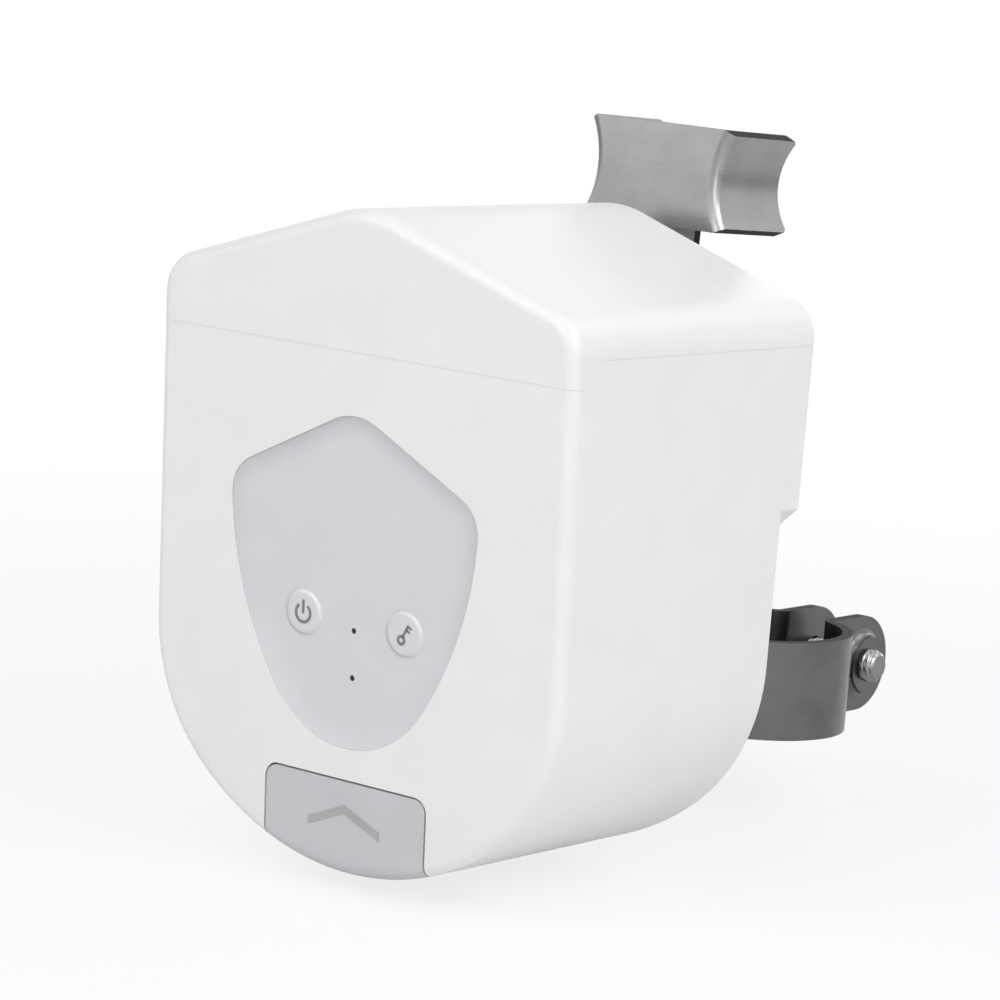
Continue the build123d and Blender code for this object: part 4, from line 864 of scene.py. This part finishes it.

# %% [markdown]
# ## The dished panel
#
# The panel is moulded as a shallow dish: its border curves up to the face over four millimetres, so
# its upper edges turn away from the light and its lower edge catches it. A painted shade along the
# upper border deepens the dark of those edges. It is a chain of parallel outlines that get deeper
# towards the middle, with four holes in its flat floor.

# %% Dished panel with its holes
PANEL_GAP = 0.04
RIM_DEPTH = 0.2
DISH_WIDTH = 4.0
DISH_STEPS = 16
DISH_POWER = 2.0
RIM_PAINTED_SHADE = 0.5
RIM_PAINTED_SHADE_SIDE = 0.45
PAINTED_SHADE_FADE_POWER = 1.5
PANEL_DEPTH = 0.9
PANEL_BACK = 1.85
BUTTON_ACROSS = 10.5
BUTTON_DROP = 43.9
BUTTON_HOLE = 4.0
PIN_HOLE = 0.5
PIN_DROPS = (45.2, 53.0)
panel_mesh = bmesh.new()
painted_shade_layer = panel_mesh.verts.layers.float.new("shade")
rim = loop_at(panel_mesh, shield(-PANEL_GAP), RIM_DEPTH)
back = loop_at(panel_mesh, shield(-PANEL_GAP), PANEL_BACK)
strip(panel_mesh, back, rim)
edge = rim
dish_loops = [(rim, 0)]
for step in range(1, DISH_STEPS + 1):
    share = step / DISH_STEPS
    depth = RIM_DEPTH + (PANEL_DEPTH - RIM_DEPTH) * (1 - (1 - share) ** DISH_POWER)
    inner = loop_at(panel_mesh, shield(-PANEL_GAP - DISH_WIDTH * share), depth)
    strip(panel_mesh, edge, inner)
    edge = inner
    dish_loops.append((inner, share))
hole_tops = []
hole_backs = []
hole_places = [((side * BUTTON_ACROSS, -BUTTON_DROP), BUTTON_HOLE) for side in (-1, 1)]
hole_places += [((0, -drop), PIN_HOLE) for drop in PIN_DROPS]
for middle, radius in hole_places:
    points = circle(middle, radius)
    hole_tops.append(loop_at(panel_mesh, points, PANEL_DEPTH))
    hole_backs.append(loop_at(panel_mesh, points, PANEL_BACK))
    strip(panel_mesh, hole_tops[-1], hole_backs[-1])
fill_between(panel_mesh, edge, hole_tops)
fill_between(panel_mesh, back, hole_backs)
rim_middle = Vector((SHIELD_SHIFT, -(APEX_DROP + TIP_DROP) / 2))
# Painted shade: each point of the dish gets the shade attribute, strongest at the upper rim, weaker at
# the sides, none at the bottom, and fading to nothing at the floor.
for loop, share in dish_loops:
    for vert in loop:
        spot = FACE.inverted() @ vert.co / MM
        upward = (spot.xy - rim_middle).normalized().y
        lean = min(max(RIM_PAINTED_SHADE_SIDE + (1 - RIM_PAINTED_SHADE_SIDE) * upward, 0), 1)
        vert[painted_shade_layer] = RIM_PAINTED_SHADE * lean * (1 - share) ** PAINTED_SHADE_FADE_POWER
panel_piece = make_piece("control_panel_dished", panel_mesh, panel_abs, "housing")
smooth_sharp(panel_piece, 30)
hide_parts("control_panel")
print("panel faces:", len(panel_piece.data.polygons))

# %% [markdown]
# ## Buttons with a soft edge
#
# Each button stands a third of a millimetre proud of the panel, and its edge is rounded so widely
# that it shows as a soft ring: dark on the side away from the light and bright on the other. A painted
# shade on its lower left and a painted highlight on its upper right strengthen that ring. It is
# turned from one profile. The gap to the panel is a few hundredths, as on a membrane button.

# %% Buttons
BUTTON_PROFILE = (
    (3.97, 0.905), (3.76, 0.90), (3.69, 0.882), (3.62, 0.835), (3.55, 0.77), (3.48, 0.705),
    (3.40, 0.65), (3.30, 0.618), (3.16, 0.603), (2.95, 0.60),
)
STEM_RADIUS = 1.2
SLOPE_MIDDLE = 3.5
SLOPE_HALF_WIDTH = 0.45
PAINTED_SHADE_TOWARD = Vector((-0.75, -0.66))
PAINTED_SHADE_STRENGTH = 1.0
PAINTED_HIGHLIGHT_STRENGTH = 0.9
BUTTON_BACK = 1.9
BUTTON_TURNS = 72
TOP_SLACK = 0.01


def turned_button(node, side):
    """Button with its rounded edge and its stem, in place of the CAD node."""
    place = FACE @ Matrix.Translation(Vector((side * BUTTON_ACROSS, -BUTTON_DROP, 0)) * MM)
    reach = max((FACE_ORIGIN - v.co).dot(face_out) for v in nodes[node].data.vertices)
    profile = [(STEM_RADIUS * MM, -reach), (STEM_RADIUS * MM, -BUTTON_BACK * MM)]
    profile.append((BUTTON_PROFILE[0][0] * MM, -BUTTON_BACK * MM))
    profile += [(radius * MM, -depth * MM) for radius, depth in BUTTON_PROFILE]
    shape = lathe(profile, BUTTON_TURNS, place)
    painted_shade_layer = shape.verts.layers.float.new("shade")
    painted_highlight_layer = shape.verts.layers.float.new("painted_highlight")
    # Painted shade on the lower left of the rounded edge and a painted highlight on its upper right, as
    # point attributes on the edge's slope.
    for vert in shape.verts:
        spot = place.inverted() @ vert.co / MM
        slope = max(1 - abs(spot.xy.length - SLOPE_MIDDLE) / SLOPE_HALF_WIDTH, 0)
        if spot.z > -BUTTON_PROFILE[0][1] - TOP_SLACK and slope > 0:
            lean = spot.xy.normalized().dot(PAINTED_SHADE_TOWARD)
            vert[painted_shade_layer] = PAINTED_SHADE_STRENGTH * slope * max(lean, 0)
            vert[painted_highlight_layer] = PAINTED_HIGHLIGHT_STRENGTH * slope * max(-lean, 0) ** 2
    piece = make_piece(f"{node}_cap", shape, button_abs, node)
    smooth_sharp(piece, 50)
    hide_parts(node)
    print(node, "reaches in mm:", round(reach / MM, 2))


turned_button("control_button", -1)
turned_button("reset_button", 1)

# %% [markdown]
# ## The two small holes
#
# The upper hole has a smoked window over the status light, the lower one a gauze over the buzzer.
# Each filler is a short pin, set just below the floor of the panel with a chamfered rim.

# %% Dark window and gauze
PIN_FILL_DEPTH = 1.05
PIN_FIT = 0.97
PIN_TIP = 0.6
PIN_CHAMFER = 0.05
PIN_TURNS = 24
for name, drop, filler in zip(("light_window", "buzzer_gauze"), PIN_DROPS, (smoked, gauze)):
    place = FACE @ Matrix.Translation(Vector((0, -drop, 0)) * MM)
    profile = [
        (PIN_HOLE * PIN_FIT * MM, -PANEL_BACK * MM),
        (PIN_HOLE * PIN_FIT * MM, -PIN_FILL_DEPTH * MM),
        (PIN_HOLE * PIN_TIP * MM, -(PIN_FILL_DEPTH - PIN_CHAMFER) * MM),
    ]
    shape = lathe(profile, PIN_TURNS, place)
    make_piece(name, shape, filler, "housing")
print("small holes filled:", len(PIN_DROPS))

# %% [markdown]
# ## The main shell, fitted to the dished panel
#
# The shell is a copy of the solid with two changes. First the rim under the top cap is raised until
# only a hairline stays, because moulded halves close up tight. Then an exact boolean opens the
# recess, because the panel's outline has rounder corners and a longer tip than the solid's recess.
# A flush surround closes what the old recess leaves open.

# %% Main shell
SURROUND_WIDTH = 1.6
SURROUND_DEPTH = 0.7
SURROUND_SINK = 0.004
OPENING_MARGIN = 0.4
SEAM_HAIRLINE = 0.03
SEAM_START = -116.3
SEAM_END = -112.9
SEAM_LOW = 63.5
SEAM_STEP = 4.4
SEAM_REACH = 0.25
SEAM_SAME = 0.02
OPENING_OUT = 1.0
OPENING_IN = 0.02


def above_step(point):
    """Height of a point over the stepped seam, in mm."""
    share = min(max((point.y / MM - SEAM_START) / (SEAM_END - SEAM_START), 0), 1)
    return point.z / MM - SEAM_LOW - SEAM_STEP * share


shell_mesh = bmesh.new()
shell_mesh.from_mesh(nodes["main_shell"].data)
near_shell = [v for v in shell_mesh.verts if abs(above_step(v.co)) < SEAM_REACH]
cap_heights = [above_step(v.co) for v in nodes["top_cap"].data.vertices]
cap_low = min(height for height in cap_heights if abs(height) < SEAM_REACH)
shell_high = max(above_step(v.co) for v in near_shell)
seam_lift = (cap_low - shell_high - SEAM_HAIRLINE) * MM
for vert in near_shell:
    if above_step(vert.co) > shell_high - SEAM_SAME:
        vert.co.z += seam_lift
print("seam gap in mm:", round(cap_low - shell_high, 3), "points:", len(near_shell))
shell_piece = make_piece(
    "main_shell_fitted", shell_mesh, white_abs, "housing", turn_out=False
)
opening = bmesh.new()
opening_top = loop_at(opening, shield(OPENING_MARGIN), -OPENING_OUT)
opening_low = loop_at(opening, shield(OPENING_MARGIN), PANEL_BACK + OPENING_IN)
strip(opening, opening_top, opening_low)
opening.faces.new(opening_top)
opening.faces.new(list(reversed(opening_low)))
bmesh.ops.recalc_face_normals(opening, faces=opening.faces)
carve(shell_piece, opening)
smooth_sharp(shell_piece, 30)
flat_first = shell_piece.modifiers.new("flat_faces_first", "WEIGHTED_NORMAL")
flat_first.keep_sharp = True
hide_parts("main_shell")
print("shell faces:", len(shell_piece.data.polygons))

surround_mesh = bmesh.new()
surround_loops = [
    loop_at(surround_mesh, shield(grow), depth)
    for grow, depth in (
        (SURROUND_WIDTH, SURROUND_SINK), (0, SURROUND_SINK),
        (0, SURROUND_DEPTH), (SURROUND_WIDTH, SURROUND_DEPTH),
    )
]
for first, second in zip(surround_loops, surround_loops[1:] + surround_loops[:1]):
    strip(surround_mesh, first, second)
surround = make_piece("panel_surround", surround_mesh, white_abs, "housing")
smooth_sharp(surround, 30)

# %% [markdown]
# ## Marks on the buttons
#
# The left button switches the valve, so it has the usual power sign: an open ring with a bar. The
# right one is for pairing and reset and has a small key. Both are printed in grey. Each mark is a
# flat shape a few hundredths of a millimetre thick that lies on its button and rides with it.

# %% Helpers for marks
MARK_THICK = 0.04 * MM
OUTER_SLACK = 0.02 * MM


def top_centre(node):
    """Middle of the outer face of a button: the middle of the points that lie furthest out."""
    verts = [v.co for v in nodes[node].data.vertices]
    reach = max(v.dot(face_out) for v in verts)
    outer = [v for v in verts if v.dot(face_out) > reach - OUTER_SLACK]
    return sum(outer, Vector()) / len(outer)


def slab(bm, outline, place, thick):
    """Adds a flat slab with that outline to bm."""
    low = [bm.verts.new(place @ Vector((x, y, -thick))) for x, y in outline]
    top = [bm.verts.new(place @ Vector((x, y, thick))) for x, y in outline]
    bm.faces.new(list(reversed(low)))
    bm.faces.new(top)
    strip(bm, low, top)


def stroke(bm, start, end, width, place, thick, around=8):
    """Adds a straight stroke with round ends."""
    start, end = Vector(start), Vector(end)
    bearing = math.atan2(end.y - start.y, end.x - start.x)
    outline = []
    for tip, turn in ((end, -math.pi / 2), (start, math.pi / 2)):
        for step in range(around + 1):
            angle = bearing + turn + math.pi * step / around
            outline.append((
                tip.x + width / 2 * math.cos(angle), tip.y + width / 2 * math.sin(angle)
            ))
    slab(bm, outline, place, thick)


def arc_stroke(bm, middle, radius, width, begin_deg, sweep_deg, place, thick, steps=40):
    """Adds a stroke along an arc, with square ends, or a full ring."""
    outer = []
    inner = []
    for step in range(steps + 1):
        angle = math.radians(begin_deg + sweep_deg * step / steps)
        for points, reach in ((outer, radius + width / 2), (inner, radius - width / 2)):
            points.append(
                (middle[0] + reach * math.cos(angle), middle[1] + reach * math.sin(angle))
            )
    for step in range(steps):
        quad = (inner[step], outer[step], outer[step + 1], inner[step + 1])
        slab(bm, quad, place, thick)


# %% Power sign and key sign
SIGN_WIDTH = 0.52 * MM
POWER_RADIUS = 1.5 * MM
POWER_GAP_DEG = 70
POWER_DROP = 0.1 * MM
POWER_BAR = (0.05 * MM, 1.9 * MM)
power_place = face_frame(top_centre("control_button"))
power_mesh = bmesh.new()
arc_stroke(
    power_mesh, (0, -POWER_DROP), POWER_RADIUS, SIGN_WIDTH,
    90 + POWER_GAP_DEG / 2, 360 - POWER_GAP_DEG, power_place, MARK_THICK,
)
bar_low, bar_high = POWER_BAR
stroke(power_mesh, (0, bar_low), (0, bar_high), SIGN_WIDTH, power_place, MARK_THICK)
make_piece("power_sign", power_mesh, mark_ink, "control_button")

KEY_TURN_DEG = 62
KEY_BOW_AT = -1.05 * MM
KEY_BOW_RADIUS = 0.62 * MM
KEY_SHAFT = (-0.4 * MM, 1.75 * MM)
KEY_SHAFT_WIDTH = SIGN_WIDTH * 0.9
KEY_TEETH = (1.0 * MM, 1.7 * MM)
KEY_TOOTH_LENGTH = 0.75 * MM
KEY_TOOTH_WIDTH = SIGN_WIDTH * 0.75
key_turn = Matrix.Rotation(math.radians(KEY_TURN_DEG), 4, "Z")
key_place = face_frame(top_centre("reset_button")) @ key_turn
key_mesh = bmesh.new()
arc_stroke(key_mesh, (KEY_BOW_AT, 0), KEY_BOW_RADIUS, SIGN_WIDTH, 0, 360, key_place, MARK_THICK)
shaft_start, shaft_end = KEY_SHAFT
stroke(key_mesh, (shaft_start, 0), (shaft_end, 0), KEY_SHAFT_WIDTH, key_place, MARK_THICK)
for tooth in KEY_TEETH:
    tooth_end = (tooth, -KEY_TOOTH_LENGTH)
    stroke(key_mesh, (tooth, 0), tooth_end, KEY_TOOTH_WIDTH, key_place, MARK_THICK)
make_piece("key_sign", key_mesh, mark_ink, "reset_button")
print("signs on the buttons made")

# %% [markdown]
# ## Mark on the release button
#
# The release button is pressed in to free the housing from its clamp. Where the real one has a
# word, this one has a plain arrow that points up at the housing, in a slightly darker tone.

# %% Release mark
ARROW_HEIGHT_UP = -12.6
ARROW_HALF_WIDTH = 7.5
ARROW_RISE = 3.2
ARROW_STROKE = 1.5
ARROW_THICK = 0.12
ARROW_BEVEL = 0.05
RAY_RUN = 10 * MM


def front_of(node, height):
    """Point on a node's front at X zero and that height, found by a ray from the front."""
    start = Vector((0, cad_box[0][1] - RAY_RUN, height))
    return nodes[node].ray_cast(start, Vector((0, 1, 0)))[1]


arrow_foot = front_of("release_button", ARROW_HEIGHT_UP * MM)
arrow_outline = []
for lift, sides in ((ARROW_STROKE / 2, (-1, 0, 1)), (-ARROW_STROKE / 2, (1, 0, -1))):
    for side in sides:
        rise = ARROW_RISE / 2 if side == 0 else -ARROW_RISE / 2
        arrow_outline.append((side * ARROW_HALF_WIDTH * MM, (rise + lift) * MM))
arrow_mesh = bmesh.new()
slab(arrow_mesh, arrow_outline, face_frame(arrow_foot), ARROW_THICK * MM)
arrow = make_piece("release_arrow", arrow_mesh, rocker_mark, "release_rocker")
soft_edge = arrow.modifiers.new("soft_edge", "BEVEL")
soft_edge.width = ARROW_BEVEL * MM
soft_edge.segments = 2
print("release mark foot in mm:", [round(value / MM, 2) for value in arrow_foot])

# %% [markdown]
# ## Floor and backdrop
#
# The photo is a product cut-out on pure white. The object hangs in the air there, so the floor lies
# a little below it. To the camera the floor fades into white away from the object, and near it most
# of its own shading is hidden, so that only a soft shadow stays. The world is white to the camera
# and in reflections, through Light Path, and lights the object weakly.

# %% Floor and world
FLOOR_DROP = 3.0 * MM
FLOOR_SIZE = 4.0
WORLD_STRENGTH = 0.21
FLOOR_WHITE_SHARE = 0.8
FADE_START = 120 * MM
FADE_END = 420 * MM

floor_mesh = bmesh.new()
bmesh.ops.create_grid(floor_mesh, x_segments=1, y_segments=1, size=FLOOR_SIZE)
floor = link_mesh("floor", floor_mesh)
floor.location = (0, 0, cad_box[0][2] - FLOOR_DROP)

# Matt background paper shows no gloss, only a soft shadow.
floor_paper, floor_shader = new_material("floor_white_paper")
floor_shader.inputs["Base Color"].default_value = linear("#F6F6F6")
floor_shader.inputs["Roughness"].default_value = 0.9
floor_tree = floor_paper.node_tree
floor_path = add_node(floor_tree, "ShaderNodeLightPath")
floor_place = add_node(floor_tree, "ShaderNodeTexCoord")
floor_reach = add_node(
    floor_tree, "ShaderNodeVectorMath", {"Vector": floor_place.outputs["Object"]},
    operation="LENGTH",
)
floor_fade = add_node(
    floor_tree, "ShaderNodeMapRange", {"Value": floor_reach.outputs["Value"]},
    interpolation_type="SMOOTHSTEP", From_Min=FADE_START, From_Max=FADE_END,
    To_Min=FLOOR_WHITE_SHARE,
)
floor_seen = add_node(
    floor_tree, "ShaderNodeMath",
    {0: floor_path.outputs["Is Camera Ray"], 1: floor_fade.outputs["Result"]},
    operation="MULTIPLY",
)
floor_glow = add_node(floor_tree, "ShaderNodeEmission", Strength=1.0)
floor_mix = add_node(floor_tree, "ShaderNodeMixShader", {
    0: floor_seen.outputs[0], 1: floor_shader.outputs["BSDF"], 2: floor_glow.outputs["Emission"],
})
floor_tree.links.new(
    floor_mix.outputs["Shader"], floor_tree.nodes["Material Output"].inputs["Surface"]
)
floor.data.materials.append(floor_paper)

world = bpy.data.worlds.new("studio")
bpy.context.scene.world = world
world.use_nodes = True
world_tree = world.node_tree
world_light = world_tree.nodes["Background"]
world_light.inputs["Color"].default_value = (1, 1, 1, 1)
world_light.inputs["Strength"].default_value = WORLD_STRENGTH
world_path = add_node(world_tree, "ShaderNodeLightPath")
world_seen = world_path.outputs["Is Camera Ray"]
for ray in ("Is Glossy Ray", "Is Transmission Ray"):
    either = add_node(
        world_tree, "ShaderNodeMath", {0: world_seen, 1: world_path.outputs[ray]},
        operation="MAXIMUM",
    )
    world_seen = either.outputs[0]
world_white = add_node(world_tree, "ShaderNodeBackground", Color=(1, 1, 1, 1), Strength=1.0)
world_mix = add_node(world_tree, "ShaderNodeMixShader", {
    0: world_seen, 1: world_light.outputs["Background"], 2: world_white.outputs["Background"],
})
world_tree.links.new(
    world_mix.outputs["Shader"], world_tree.nodes["World Output"].inputs["Surface"]
)
print("floor height in mm:", round(floor.location.z / MM, 1))

# %% [markdown]
# ## Lamps
#
# White plastic is photographed between large soft boxes, which keep its faces even and its
# highlights broad. Front left and front light the face. Front right and right light the long side
# and draw the bright line down its front corner. Top and back light the roof, and rear the cover
# behind. The watts were set so that each face comes out as bright as it is in the photo.

# %% Lamps
LAMP_DISTANCE = 0.9
LAMP_SIZE = 0.5
LAMP_TARGET = Vector((0, -80, 30)) * MM
LAMPS = {
    "front_left_lamp": (-35, 25, 1.10),
    "front_lamp": (0, 38, 2.05),
    "front_right_lamp": (52, 16, 1.15),
    "right_lamp": (85, 40, 3.00),
    "top_lamp": (-14, 64, 0.85),
    "back_lamp": (150, 50, 1.15),
    "rear_lamp": (195, 12, 1.25),
}
for name, (azimuth_deg, elevation_deg, watts) in LAMPS.items():
    azimuth = math.radians(azimuth_deg)
    elevation = math.radians(elevation_deg)
    soft_box = bpy.data.lights.new(name, "AREA")
    soft_box.size = LAMP_SIZE
    soft_box.energy = watts
    lamp = bpy.data.objects.new(name, soft_box)
    toward_lamp = Vector((
        math.sin(azimuth) * math.cos(elevation),
        -math.cos(azimuth) * math.cos(elevation),
        math.sin(elevation),
    ))
    lamp.location = LAMP_TARGET + toward_lamp * LAMP_DISTANCE
    lamp.rotation_euler = toward_lamp.to_track_quat("Z", "Y").to_euler()
    bpy.context.collection.objects.link(lamp)
print("lamps:", len(LAMPS))

# %% [markdown]
# ## Last lines
#
# The view transform is Standard, so a colour comes out as it is written.

# %% Finish
bpy.context.scene.view_settings.view_transform = "Standard"
